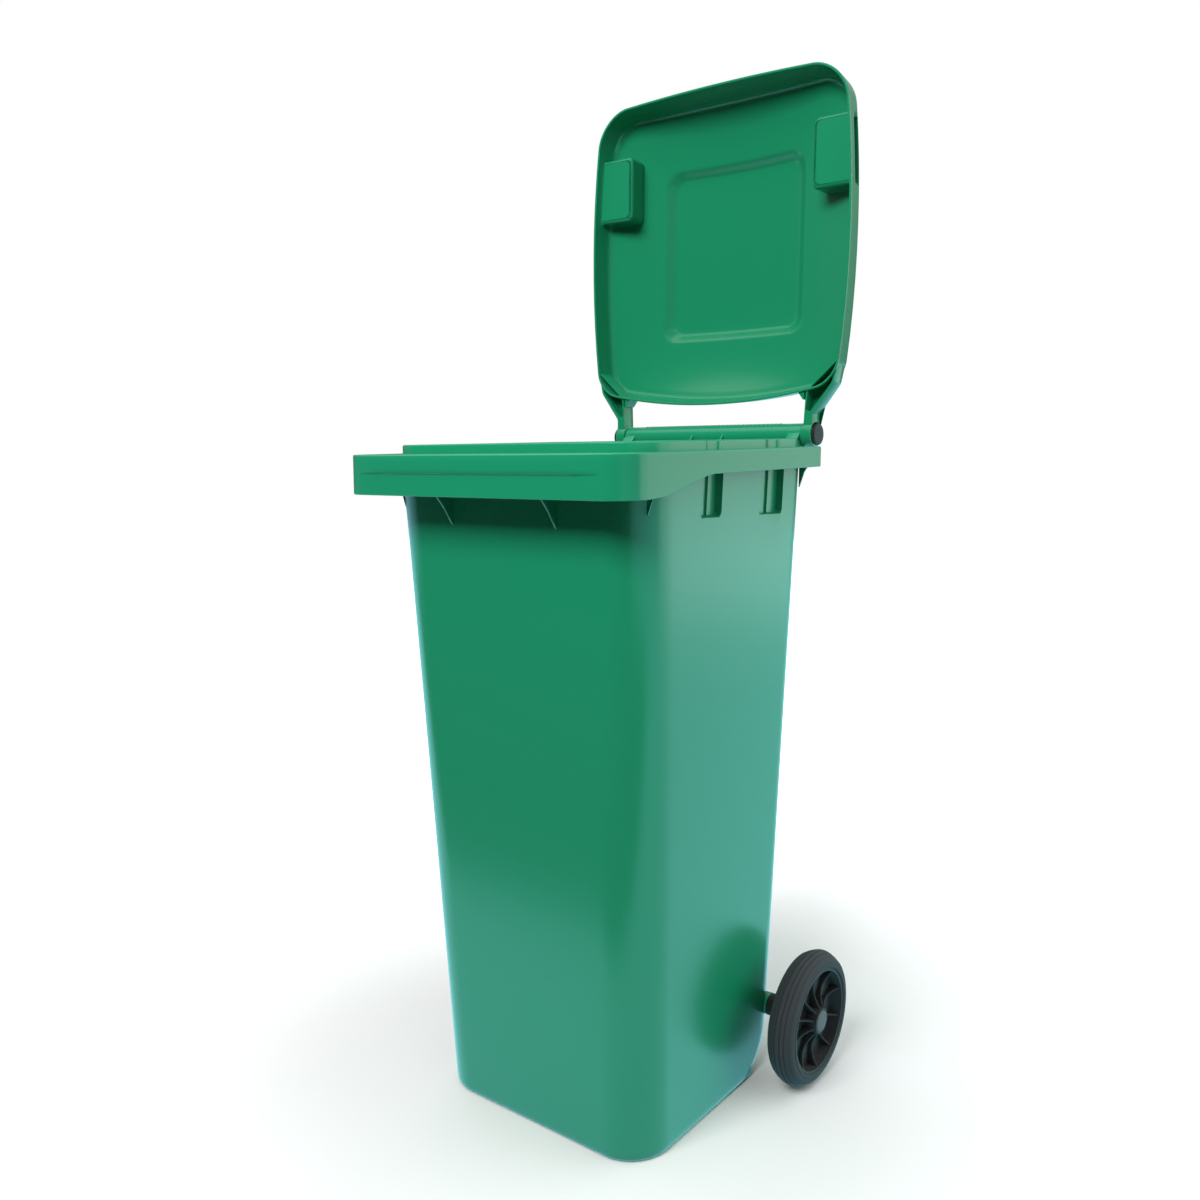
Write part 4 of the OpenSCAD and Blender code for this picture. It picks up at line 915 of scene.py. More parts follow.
def tyre_surface(w, side):
    """A solid tyre: a crowned tread with turned grooves, stepped shoulders and a smooth sidewall band that
    ends in a thin bead. The profile is half given and half mirrored about the wheel's middle."""
    r, half = w.wheel_d / 2, w.tyre_w / 2
    seat = r - w.tyre_t
    # Millimetres outwards from the seat and inwards from the side, from the bead to the tread.
    steps = [(0, 2), (0.8, 0.9), (2.2, 0.2), (3.2, 0), (4, 0.3), (4.6, 1.1), (5.2, 1.3), (7.5, 1),
             (10.5, 1.5), (13, 2.7), (14.6, 4), (15.1, 5), (14.9, 5.6), (15.3, 6.3), (16.6, 7.2),
             (17.9, 9.2), (18.7, 10.8), (17.8, 11.4), (17.8, 12.6), (19.4, 13.2), (20.2, 14.2),
             (20.9, 16.2), (21.3, 17), (20, 17.4), (20, 18.6), (21.6, 19), (22, 20), (22, 21.2)]
    out = np.array(steps) * [0.001, -0.001] + [seat, half]
    profile = np.concatenate([out, out[::-1] * [1, -1]])
    middle = (TYRE_LOW.x + TYRE_HIGH.x) / 2
    return turned(profile + [0, middle], AXLE, side, 160)


def wheel_surface(w, side):
    """A wheel centre: hub, thin web and outer ring as one turned profile, and ribs on both faces. A rib is
    a thin rounded section carried outwards, whose two edges dip by a half sine between hub and ring."""
    r, half = w.wheel_d / 2, w.tyre_w / 2
    middle = (TYRE_LOW.x + TYRE_HIGH.x) / 2
    seat = r - w.tyre_t
    ring_in, ring_half = seat - 0.0045, half - 0.0022
    hub, hub_half, bore = 0.019, half + 0.0005, w.axle_d / 2 + FIT
    cap_r, cap_floor = w.cap_d / 2, 0.010
    web = 0.0015
    profile = [[bore, -hub_half], [hub - 0.0015, -hub_half], [hub - 0.0004, -hub_half + 0.0004],
               [hub, -hub_half + 0.0015],
               [hub + 0.0006, -web - 0.002], [hub + 0.0026, -web], [ring_in - 0.002,
                                                                    -web], [ring_in - 0.0004, -web - 0.002]]
    profile += [[ring_in, -ring_half + 0.001], [ring_in + 0.0003, -ring_half + 0.0003],
                [ring_in + 0.001, -ring_half],
                [seat - 0.0006, -ring_half], [seat, -ring_half + 0.0006], [seat, ring_half - 0.0006],
                [seat - 0.0006, ring_half], [ring_in + 0.001, ring_half], [ring_in + 0.0003,
                                                                           ring_half - 0.0003],
                [ring_in, ring_half - 0.001]]
    profile += [[ring_in - 0.0004, web + 0.002], [ring_in - 0.002, web], [hub + 0.0026, web],
                [hub + 0.0006, web + 0.002],
                [hub, hub_half - 0.0015], [hub - 0.0004, hub_half - 0.0004], [hub - 0.0015, hub_half],
                [cap_r + 0.0003, hub_half], [cap_r, hub_half - 0.0004], [cap_r, cap_floor], [bore, cap_floor]]
    profile = np.array(profile) + [0, middle]
    parts = [turned(profile, AXLE, side, 128)]
    t = np.linspace(0, 1, 15)[:, None]
    radius = mix(hub - 0.001, ring_in + 0.001, t)
    reach = mix(hub_half - 0.0024, ring_half - 0.0022, t) - w.rib_dip * np.sin(np.pi * t)
    # Half-round edges: the section is a stadium, listed once round.
    a = np.radians(np.linspace(0, 180, 7))[None, :]
    half_t = w.rib_t / 2 * (1.0 + 0.25 * np.abs(2 * t - 1) ** 3)
    across = np.concatenate([half_t * np.cos(a), -half_t * np.cos(a)], 1)
    along = np.concatenate([reach - half_t + half_t * np.sin(a), -(reach - half_t) - half_t * np.sin(a)], 1)
    for k in range(w.ribs):
        turn = math.radians(18 + k * 360 / w.ribs)
        y = radius * math.cos(turn) - across * math.sin(turn)
        z = radius * math.sin(turn) + across * math.cos(turn)
        rings = np.stack([side * (middle + along), AXLE_Y + y, AXLE_Z + z], -1)
        parts.append(shell(rings))
    return together(parts)


def cap_surface(w, side):
    """A hub cap: a shallow cup whose face is a flat disc inside a rounded edge."""
    low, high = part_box("hub_cap_right")
    r, x0, x1 = w.cap_d / 2, low.x, high.x
    wall = 0.0016
    profile = [[r - wall, x0], [r, x0]] + arc_points(r - 0.0014, x1 - 0.0017, 0.0014, 0, 84, 7)
    profile += [[r - 0.0026, x1 - 0.0002], [r * 0.6, x1 - 0.00003], [0, x1], [0, x1 - wall],
                [r - wall, x1 - wall - 0.0006]]
    return turned(profile, AXLE, side, 72)


# ---- materials ------------------------------------------------------------------------------------

def put(tree, kind, values=None, **settings):
    """Adds a node, sets its properties, and gives each named input a value or a link."""
    node = tree.nodes.new(kind)
    for key, value in settings.items():
        setattr(node, key, value)
    for key, value in (values or {}).items():
        if isinstance(value, bpy.types.NodeSocket):
            tree.links.new(value, node.inputs[key])
        else:
            node.inputs[key].default_value = value
    return node


def blend_colour(tree, factor, a, b, mode="MIX"):
    return put(tree, "ShaderNodeMix", {0: factor, 6: a, 7: b}, data_type="RGBA", blend_type=mode).outputs[2]


def calc(tree, operation, a, b=0.0, c=0.0, clamp=False):
    return put(tree, "ShaderNodeMath", {0: a, 1: b, 2: c}, operation=operation, use_clamp=clamp).outputs[0]


def span(tree, value, low, high, to_low=0.0, to_high=1.0, smooth=False):
    return put(tree, "ShaderNodeMapRange", {"Value": value, "From Min": low, "From Max": high,
                                            "To Min": to_low,
                                            "To Max": to_high},
               interpolation_type="SMOOTHSTEP" if smooth else "LINEAR").outputs[0]


def noise(tree, place, scale, detail, rough=0.5):
    """The value of a cloudy noise, about 0.5 with most of it between 0.3 and 0.7."""
    return put(tree, "ShaderNodeTexNoise",
               {"Vector": place, "Scale": scale, "Detail": detail, "Roughness": rough}).outputs[0]


def new_group(name, inputs, outputs):
    """An empty node group with named sockets; a group of this name that exists is returned as it is."""
    if name in bpy.data.node_groups:
        return bpy.data.node_groups[name], None, None
    tree = bpy.data.node_groups.new(name, "ShaderNodeTree")
    for label, kind, default in inputs:
        made = tree.interface.new_socket(label, in_out="INPUT", socket_type=kind)
        made.default_value = default
    for label, kind in outputs:
        tree.interface.new_socket(label, in_out="OUTPUT", socket_type=kind)
    return tree, tree.nodes.new("NodeGroupInput").outputs, tree.nodes.new("NodeGroupOutput").inputs


FLOOR_GLOW = 0.9
FLOAT, COLOUR, VECTOR = "NodeSocketFloat", "NodeSocketColor", "NodeSocketVector"


def tone_group():
    """Slow changes of tone, as in a thick moulding that cooled unevenly: two sizes of noise, stretched
    along the flow of the plastic, move the colour between a deep and a pale green."""
    tree, given, out = new_group("moulding_tone", [
        ("Place", VECTOR, (0, 0, 0)), ("Colour", COLOUR, (0, 0.3, 0.1, 1)), ("Spread", FLOAT,
                                                                             0.2)], [("Colour", COLOUR)])
    if given is None:
        return tree
    slow = noise(tree, given["Place"], 2.6, 3.0, 0.5)
    flow = put(tree, "ShaderNodeMapping", {"Vector": given["Place"], "Scale": (26.0, 26.0, 2.4)})
    fine = noise(tree, flow.outputs[0], 1.0, 4.0, 0.6)
    both = calc(tree, "MULTIPLY_ADD", fine, 0.35, calc(tree, "MULTIPLY", slow, 0.65))
    factor = calc(tree, "MULTIPLY", span(tree, both, 0.36, 0.64, -1.0, 1.0), given["Spread"])
    value = calc(tree, "ADD", 1.0, factor)
    tinted = put(tree, "ShaderNodeHueSaturation", {"Color": given["Colour"], "Value": value,
                                                   "Saturation": 1.0})
    tree.links.new(tinted.outputs[0], out["Colour"])
    return tree


def scuff_group():
    """Thin scratches and small rubs: bands where two stretched noises cross their middle value, kept only
    inside scattered patches. Lines gives the scratches, Rubs the soft patches."""
    tree, given, out = new_group("scuffs", [
        ("Place", VECTOR, (0, 0, 0)), ("Amount", FLOAT, 0.5), ("Scale", FLOAT, 1.0)], [("Lines", FLOAT),
                                                                                       ("Rubs", FLOAT)])
    if given is None:
        return tree
    place = put(tree, "ShaderNodeVectorMath", {0: given["Place"], 3: given["Scale"]},
                operation="SCALE").outputs[0]
    lines = 0.0
    for turn, stretch in (((0.5, 0.3, 0.9), (14, 90, 26)), ((1.2, 0.1, 2.2), (70, 12, 34)),
                          ((0.2, 0.9, 0.2), (34, 30, 150))):
        turned_place = put(tree, "ShaderNodeMapping", {"Vector": place, "Rotation": turn,
                                                       "Scale": stretch}).outputs[0]
        value = noise(tree, turned_place, 1.0, 1.5, 0.4)
        off = calc(tree, "ABSOLUTE", calc(tree, "SUBTRACT", value, 0.5))
        line = span(tree, off, 0.0, 0.006, 1.0, 0.0)
        where = noise(tree, place, 9.0 + stretch[0] / 8, 2.0)
        kept = calc(tree, "MULTIPLY", line, span(tree, where, 0.61, 0.68))
        lines = calc(tree, "MAXIMUM", lines, kept)
    tree.links.new(calc(tree, "MULTIPLY", lines, given["Amount"], clamp=True), out["Lines"])
    soft = noise(tree, place, 15.0, 5.0, 0.65)
    rubs = calc(tree, "MULTIPLY", span(tree, soft, 0.56, 0.80), given["Amount"], clamp=True)
    tree.links.new(rubs, out["Rubs"])
    return tree


def speck_group():
    """Small grains of dirt and bright nicks: cells whose random value is low hold one round speck each."""
    tree, given, out = new_group("specks", [
        ("Place", VECTOR, (0, 0, 0)), ("Scale", FLOAT, 60.0), ("Share", FLOAT, 0.05)], [("Mask", FLOAT)])
    if given is None:
        return tree
    cells = put(tree, "ShaderNodeTexVoronoi", {"Vector": given["Place"], "Scale": given["Scale"]})
    pick = put(tree, "ShaderNodeTexWhiteNoise", {"Vector": cells.outputs["Position"]},
               noise_dimensions="3D").outputs[0]
    round_spot = span(tree, cells.outputs["Distance"], 0.05, 0.09, 1.0, 0.0)
    chosen = calc(tree, "LESS_THAN", pick, given["Share"])
    tree.links.new(calc(tree, "MULTIPLY", round_spot, chosen), out["Mask"])
    return tree


def grain_group():
    """Surface grain: a fine noise for the tool's texture and a slow one for sinks in the wall, in metres."""
    tree, given, out = new_group("grain", [
        ("Place", VECTOR, (0, 0, 0)), ("Fine", FLOAT, 900.0), ("Fine depth", FLOAT, 0.00002),
        ("Slow depth", FLOAT, 0.0003)], [("Height", FLOAT)])
    if given is None:
        return tree
    fine = noise(tree, given["Place"], given["Fine"], 2.0)
    slow = noise(tree, given["Place"], 7.0, 1.0)
    height = calc(tree, "MULTIPLY_ADD", fine, given["Fine depth"],
                  calc(tree, "MULTIPLY", slow, given["Slow depth"]))
    tree.links.new(height, out["Height"])
    return tree


def dust_group():
    """Dust: cloudy noise, and more of it on worn edges."""
    tree, given, out = new_group("dust", [
        ("Place", VECTOR, (0, 0, 0)), ("Amount", FLOAT, 0.5), ("Edges", FLOAT, 0.0)], [("Mask", FLOAT)])
    if given is None:
        return tree
    cloud = noise(tree, given["Place"], 38.0, 6.0, 0.7)
    soft = span(tree, cloud, 0.34, 0.72)
    worn = put(tree, "ShaderNodeAttribute", attribute_name="edge_wear").outputs["Fac"]
    edge = calc(tree, "MULTIPLY", worn, given["Edges"])
    total = calc(tree, "ADD", calc(tree, "MULTIPLY", soft, given["Amount"]), edge, clamp=True)
    tree.links.new(total, out["Mask"])
    return tree


def use(tree, group, values):
    node = tree.nodes.new("ShaderNodeGroup")
    node.node_tree = group
    for key, value in values.items():
        if isinstance(value, bpy.types.NodeSocket):
            tree.links.new(value, node.inputs[key])
        else:
            node.inputs[key].default_value = value
    return node.outputs


def new_material(name):
    """An empty material with a Principled shader that is linked to its output."""
    material = bpy.data.materials.new(name)
    material.use_nodes = True
    tree = material.node_tree
    tree.nodes.clear()
    shader = tree.nodes.new("ShaderNodeBsdfPrincipled")
    output = tree.nodes.new("ShaderNodeOutputMaterial")
    tree.links.new(shader.outputs[0], output.inputs[0])
    place = tree.nodes.new("ShaderNodeTexCoord").outputs["Object"]
    return material, tree, shader, place


def wire(tree, shader, colour_out, roughness, height, distance=1.0, strength=1.0):
    """Links a colour, a roughness and a height in metres to a shader."""
    tree.links.new(colour_out, shader.inputs["Base Color"])
    tree.links.new(roughness, shader.inputs["Roughness"])
    bump = put(tree, "ShaderNodeBump", {"Height": height, "Distance": distance, "Strength": strength})
    tree.links.new(bump.outputs[0], shader.inputs["Normal"])


def ring_mask(tree, place, centre, r, width):
    """A thin circle of radius r about a point of the XZ plane: 1 on the circle, 0 a width away."""
    away = put(tree, "ShaderNodeVectorMath", {0: place, 1: centre}, operation="SUBTRACT").outputs[0]
    flat = put(tree, "ShaderNodeVectorMath", {0: away, 1: (1.0, 0.0, 1.0)}, operation="MULTIPLY").outputs[0]
    distance = put(tree, "ShaderNodeVectorMath", {0: flat}, operation="LENGTH").outputs["Value"]
    off = calc(tree, "ABSOLUTE", calc(tree, "SUBTRACT", distance, r))
    return span(tree, off, 0.0, width, 1.0, 0.0, smooth=True), distance, flat


def green_plastic(name, base, pale, lid):
    """Moulded polyethylene: slow tone changes, scratches, rubs, nicks and specks, pale strained edges and
    a soft gloss. The lid also has the marks of its gate and of an ejector, with flow lines round the gate."""
    material, tree, shader, place = new_material(name)
    colour_out = use(tree, tone_group(), {"Place": place, "Colour": base, "Spread": 0.07})["Colour"]
    scuffs = use(tree, scuff_group(), {"Place": place, "Amount": 0.55, "Scale": 1.0})
    nicks = use(tree, speck_group(), {"Place": place, "Scale": 95.0, "Share": 0.012})["Mask"]
    dirt = use(tree, speck_group(), {"Place": place, "Scale": 62.0, "Share": 0.014})["Mask"]
    worn = put(tree, "ShaderNodeAttribute", attribute_name="edge_wear").outputs["Fac"]
    grain = use(tree, grain_group(), {"Place": place, "Fine": 1100.0, "Fine depth": 0.000002,
                                      "Slow depth": 0.0004})["Height"]
    colour_out = blend_colour(tree, calc(tree, "MULTIPLY", worn, 0.16), colour_out, pale)
    colour_out = blend_colour(tree, calc(tree, "MULTIPLY", scuffs["Rubs"], 0.16), colour_out, pale)
    colour_out = blend_colour(tree, calc(tree, "MULTIPLY", scuffs["Lines"], 0.55), colour_out, pale)
    colour_out = blend_colour(tree, calc(tree, "MULTIPLY", nicks, 0.5), colour_out, pale)
    colour_out = blend_colour(tree, calc(tree, "MULTIPLY", dirt, 0.7), colour_out, (0.004, 0.03, 0.015, 1.0))
    rough = calc(tree, "MULTIPLY_ADD", scuffs["Rubs"], 0.14, 0.16 if lid else 0.085)
    rough = calc(tree, "MULTIPLY_ADD", scuffs["Lines"], 0.2, rough)
    height = calc(tree, "MULTIPLY_ADD", scuffs["Lines"], -0.00006, grain)
    if lid:
        gate_z = HINGE_Z + 0.288
        for r, width, depth in ((0.0, 0.0022, 0.0006), (0.0045, 0.0012, 0.0004), (0.0085, 0.0014, 0.00018)):
            ring, distance, flat = ring_mask(tree, place, (0.0, 0.0, gate_z), r, width)
            height = calc(tree, "MULTIPLY_ADD", ring, depth, height)
            colour_out = blend_colour(tree, calc(tree, "MULTIPLY", ring, 0.22), colour_out, pale)
        direction = put(tree, "ShaderNodeVectorMath", {0: flat}, operation="NORMALIZE").outputs[0]
        rays = noise(tree, direction, 5.5, 4.0, 0.7)
        fade = calc(tree, "MULTIPLY", span(tree, distance, 0.004, 0.02),
                    span(tree, distance, 0.02, 0.11, 1.0, 0.0))
        streak = calc(tree, "MULTIPLY", span(tree, rays, 0.45, 0.75), fade)
        colour_out = blend_colour(tree, calc(tree, "MULTIPLY", streak, 0.16), colour_out, pale)
        ejector, distance, flat = ring_mask(tree, place, (0.0, 0.0, HINGE_Z + 0.114), 0.0085, 0.0012)
        height = calc(tree, "MULTIPLY_ADD", ejector, 0.00022, height)
        rough = calc(tree, "MULTIPLY_ADD", streak, 0.08, rough)
    wire(tree, shader, colour_out, rough, height)
    shader.inputs["IOR"].default_value = 1.5
    return material


def black_plastic(name, base, dust, edges, amount, rough_at):
    """Satin black plastic: a faint mottle, dust that gathers on the edges, and a grained surface."""
    material, tree, shader, place = new_material(name)
    mottle = noise(tree, place, 55.0, 4.0)
    tone = put(tree, "ShaderNodeHueSaturation", {"Color": base,
                                                 "Value": span(tree, mottle, 0.3, 0.7, 0.8,
                                                               1.25)}).outputs[0]
    mask = use(tree, dust_group(), {"Place": place, "Amount": amount, "Edges": edges})["Mask"]
    scuffs = use(tree, scuff_group(), {"Place": place, "Amount": 0.6, "Scale": 3.0})
    colour_out = blend_colour(tree, mask, tone, dust)
    colour_out = blend_colour(tree, calc(tree, "MULTIPLY", scuffs["Lines"], 0.4), colour_out, dust)
    rough = calc(tree, "MULTIPLY_ADD", mask, 0.3, rough_at)
    grain = use(tree, grain_group(), {"Place": place, "Fine": 1500.0, "Fine depth": 0.00003,
                                      "Slow depth": 0.0001})["Height"]
    wire(tree, shader, colour_out, rough, grain)
    return material


def tyre_rubber(name, base, dust):
    """Moulded rubber: fine turned rings, a mottled bloom and dust that is thickest on the tread."""
    material, tree, shader, place = new_material(name)
    centre = put(tree, "ShaderNodeVectorMath", {0: place, 1: (0.0, AXLE_Y, AXLE_Z)},
                 operation="SUBTRACT").outputs[0]
    flat = put(tree, "ShaderNodeVectorMath", {0: centre, 1: (0.0, 1.0, 1.0)}, operation="MULTIPLY").outputs[0]
    radius = put(tree, "ShaderNodeVectorMath", {0: flat}, operation="LENGTH").outputs["Value"]
    across = put(tree, "ShaderNodeSeparateXYZ", {0: place}).outputs[0]
    rings_at = calc(tree, "ADD", calc(tree, "MULTIPLY", radius, 900.0), calc(tree, "MULTIPLY", across, 900.0))
    rings = put(tree, "ShaderNodeTexNoise", {"W": rings_at, "Scale": 1.0, "Detail": 2.0},
                noise_dimensions="1D").outputs[0]
    bloom = noise(tree, place, 24.0, 6.0, 0.7)
    tone = put(tree, "ShaderNodeHueSaturation", {"Color": base,
                                                 "Value": span(tree, bloom, 0.3, 0.7, 0.72,
                                                               1.3)}).outputs[0]
    mask = use(tree, dust_group(), {"Place": place, "Amount": 0.34, "Edges": 0.22})["Mask"]
    tread = calc(tree, "ADD", 0.45, span(tree, radius, 0.088, 0.099, 0.0, 0.55))
    mask = calc(tree, "MULTIPLY", mask, tread)
    colour_out = blend_colour(tree, mask, tone, dust)
    rough = calc(tree, "MULTIPLY_ADD", mask, 0.35, 0.36)
    grain = use(tree, grain_group(), {"Place": place, "Fine": 1300.0, "Fine depth": 0.00004,
                                      "Slow depth": 0.00012})["Height"]
    height = calc(tree, "MULTIPLY_ADD", rings, 0.00022, grain)
    wire(tree, shader, colour_out, rough, height)
    return material


def zinc_steel(name, base):
    """Zinc-plated steel: lines drawn along X, a faint spangle and dull spots."""
    material, tree, shader, place = new_material(name)
    drawn = put(tree, "ShaderNodeMapping", {"Vector": place, "Scale": (8.0, 900.0, 900.0)}).outputs[0]
    lines = noise(tree, drawn, 1.0, 3.0)
    cells = put(tree, "ShaderNodeTexVoronoi", {"Vector": place, "Scale": 260.0}).outputs["Color"]
    tone = put(tree, "ShaderNodeHueSaturation", {"Color": base,
                                                 "Value": span(tree, lines, 0.3, 0.7, 0.82,
                                                               1.12)}).outputs[0]
    spangle = put(tree, "ShaderNodeRGBToBW", {0: cells}).outputs[0]
    colour_out = blend_colour(tree, calc(tree, "MULTIPLY", spangle, 0.12), tone, (0.36, 0.37, 0.38, 1.0))
    rough = span(tree, lines, 0.3, 0.7, 0.28, 0.42)
    wire(tree, shader, colour_out, rough, calc(tree, "MULTIPLY", lines, 0.00002))
    shader.inputs["Metallic"].default_value = 1.0
    return material


def floor_sheet(name):
    """Pale studio floor with a faint cloud. To the camera it fades to even white away from the bin. Bounced
    light meets it as dark grey, and reflections see a blue-green glow on it."""
    material, tree, shader, place = new_material(name)
    cloud = noise(tree, place, 1.4, 2.0)
    colour_out = blend_colour(tree, span(tree, cloud, 0.3, 0.7), (0.86, 0.86, 0.86, 1.0),
                              (0.89, 0.89, 0.89, 1.0))
    kind = tree.nodes.new("ShaderNodeLightPath").outputs
    colour_out = blend_colour(tree, kind["Is Camera Ray"], (0.22, 0.22, 0.22, 1.0), colour_out)
    flat = put(tree, "ShaderNodeVectorMath", {0: place, 1: (1.0, 1.0, 0.0)}, operation="MULTIPLY").outputs[0]
    away = put(tree, "ShaderNodeVectorMath", {0: flat}, operation="LENGTH").outputs["Value"]
    far = span(tree, away, 0.35, 1.5, 0.0, 1.0, smooth=True)
    tree.links.new(colour_out, shader.inputs["Base Color"])
    shader.inputs["Roughness"].default_value = 0.7
    shader.inputs["Specular IOR Level"].default_value = 0.2
    seen = calc(tree, "MULTIPLY", far, kind["Is Camera Ray"])
    glow = blend_colour(tree, seen, (0.0, 0.0, 0.0, 1.0), (1.0, 1.0, 1.0, 1.0))
    glow = blend_colour(tree, kind["Is Glossy Ray"], glow, (0.5, 1.5, 1.8, 1.0))
    tree.links.new(glow, shader.inputs["Emission Color"])
    shader.inputs["Emission Strength"].default_value = FLOOR_GLOW
    material.cycles.emission_sampling = "NONE"
    return material


def card_paper(name):
    """Dark card: a dark grey glow near the bin that turns nearly black beyond it, with a soft change."""
    material, tree, shader, place = new_material(name)
    depth = put(tree, "ShaderNodeSeparateXYZ", {0: place}).outputs[1]
    tone = span(tree, depth, -2.4, -1.9, 0.006, 0.06, smooth=True)
    glow = put(tree, "ShaderNodeCombineColor", {0: tone, 1: tone, 2: tone}).outputs[0]
    tree.links.new(glow, shader.inputs["Emission Color"])
    shader.inputs["Emission Strength"].default_value = 1.0
    material.cycles.emission_sampling = "NONE"
    shader.inputs["Base Color"].default_value = (0.01, 0.01, 0.01, 1.0)
    shader.inputs["Roughness"].default_value = 1.0
    shader.inputs["Specular IOR Level"].default_value = 0.0
    return material


# ---- operators ------------------------------------------------------------------------------------

def need(name):
    if name not in bpy.data.materials:
        raise RuntimeError("Make the finishes first: there is no material called " + name)
    return name


class BIN_OT_finishes(bpy.types.Operator):
    """Make the materials of every piece"""
    # Known fault: the frame already has materials with these names, so the ones made here get a numbered
    # name, and the pieces, which ask for the plain name, wear the frame's plain materials instead.
    bl_idname = "bin.finishes"
    bl_label = "Finishes"

    def execute(self, context):
        c = context.scene.bin_colours
        green_plastic("green_body", tuple(c.body), tuple(c.pale), False)
        green_plastic("green_lid", tuple(c.lid), tuple(c.pale), True)
        black_plastic("black_plastic", tuple(c.black), tuple(c.dust), 0.20, 0.16, 0.38)
        black_plastic("black_wheel", tuple(c.black), tuple(c.dust), 0.62, 0.06, 0.34)
        black_plastic("grey_cap", tuple(c.cap), tuple(c.dust), 0.12, 0.14, 0.5)
        tyre_rubber("tyre_rubber", tuple(c.rubber), tuple(c.dust))
        zinc_steel("zinc_steel", tuple(c.steel))
        return {"FINISHED"}


class BIN_OT_body(bpy.types.Operator):
    """Build the moulded body, its rim, its gussets and its axle housing"""
    bl_idname = "bin.body"
    bl_label = "Body"

    def execute(self, context):
        s = context.scene.bin_body
        green = need("green_body")
        make("body_shell", body_surface(s), green, "bin", ["bin_body"])
        make("body_rim", rim_surface(s), green, "bin")
        make("body_gussets", gusset_surfaces(s), green, "bin")
        make("axle_housing", axle_housing_surfaces(s), green, "bin")
        return {"FINISHED"}


class BIN_OT_handle(bpy.types.Operator):
    """Build the handle bar, its brackets and the hinge pins"""
    bl_idname = "bin.handle"
    bl_label = "Handle and pins"

    def execute(self, context):
        s, h = context.scene.bin_body, context.scene.bin_handle
        green, black = need("green_body"), need("black_plastic")
        make("handle_bar", bar_surface(h), green, "bin")
        make("handle_brackets", bracket_surfaces(s, h), green, "bin")
        for name, side in (("left", -1), ("right", 1)):
            make("pin_" + name, pin_surface(h, side), black, "bin", ["hinge_pin_" + name])
        return {"FINISHED"}


class BIN_OT_lid(bpy.types.Operator):
    """Build the domed lid, its grip pockets and its hinge arms"""
    bl_idname = "bin.lid"
    bl_label = "Lid"

    def execute(self, context):
        l, h = context.scene.bin_lid, context.scene.bin_handle
        green = need("green_lid")
        make("lid_shell", lid_surface(l), green, "lid", ["lid"])
        make("lid_grips", grip_surfaces(l), green, "lid")
        make("lid_arms", arm_surfaces(l, h), green, "lid")
        return {"FINISHED"}


class BIN_OT_wheels(bpy.types.Operator):
    """Build the wheels, tyres, hub caps and sleeves, and finish the steel of the axle"""
    bl_idname = "bin.wheels"
    bl_label = "Wheels and axle"

    def execute(self, context):
        w = context.scene.bin_wheels
        steel = bpy.data.materials[need("zinc_steel")]
        for name, side in (("left", -1), ("right", 1)):
            body = "wheel_" + name
            make("tyre_ring_" + name, tyre_surface(w, side), need("tyre_rubber"), body,
                 ["tyre_" + name],
                 smooth_angle=50)
            make("wheel_centre_" + name, wheel_surface(w, side), need("black_wheel"), body,
                 [body])
            make("cap_" + name, cap_surface(w, side), need("grey_cap"), body, ["hub_cap_" + name])
            make("sleeve_" + name, sleeve_surface(w, side), need("black_plastic"), "bin",
                 ["axle_sleeve_" + name])
        for node in ("axle", "hub_washer_left", "hub_washer_right", "push_nut_left", "push_nut_right"):
            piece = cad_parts[node]
            if not piece.material_slots:
                piece.data.materials.append(steel)
            for one in piece.material_slots:
                one.material = steel
        return {"FINISHED"}


def area_light(name, place, target, size, power, tint=(1, 1, 1)):
    light = bpy.data.lights.new(name, "AREA")
    light.shape, light.energy, light.color = "RECTANGLE", power, tint
    light.size, light.size_y = size
    lamp = bpy.data.objects.new(name, light)
    lamp.location = place
    lamp.rotation_euler = (Vector(target) - Vector(place)).to_track_quat("-Z", "Y").to_euler()
    bpy.context.scene.collection.objects.link(lamp)
    return lamp


TOP_POWER, SIDE_POWER, FILL_POWER = 20, 98, 108


def sheet(rows):
    """Points and four-sided faces of an open grid of rows of points."""
    count = rows.shape[0] * rows.shape[1]
    grid = np.arange(count).reshape(rows.shape[:2])
    faces = np.stack([grid[:-1, :-1], grid[1:, :-1], grid[1:, 1:], grid[:-1, 1:]], -1).reshape(-1, 4)
    return rows.reshape(-1, 3), faces.tolist()


def curtain(name, profile, paper):
    """A wide card with the given profile of (y, z) points, which the camera doesn't see."""
    rows = np.array([[(x, y, z) for y, z in profile] for x in np.linspace(-5.0, 2.6, 9)])
    points, faces = sheet(rows)
    mesh = bpy.data.meshes.new(name)
    mesh.from_pydata(points.tolist(), [], faces)
    mesh.materials.append(paper)
    card = bpy.data.objects.new(name, mesh)
    bpy.context.scene.collection.objects.link(card)
    card.visible_camera = card.visible_transmission = False
    return card


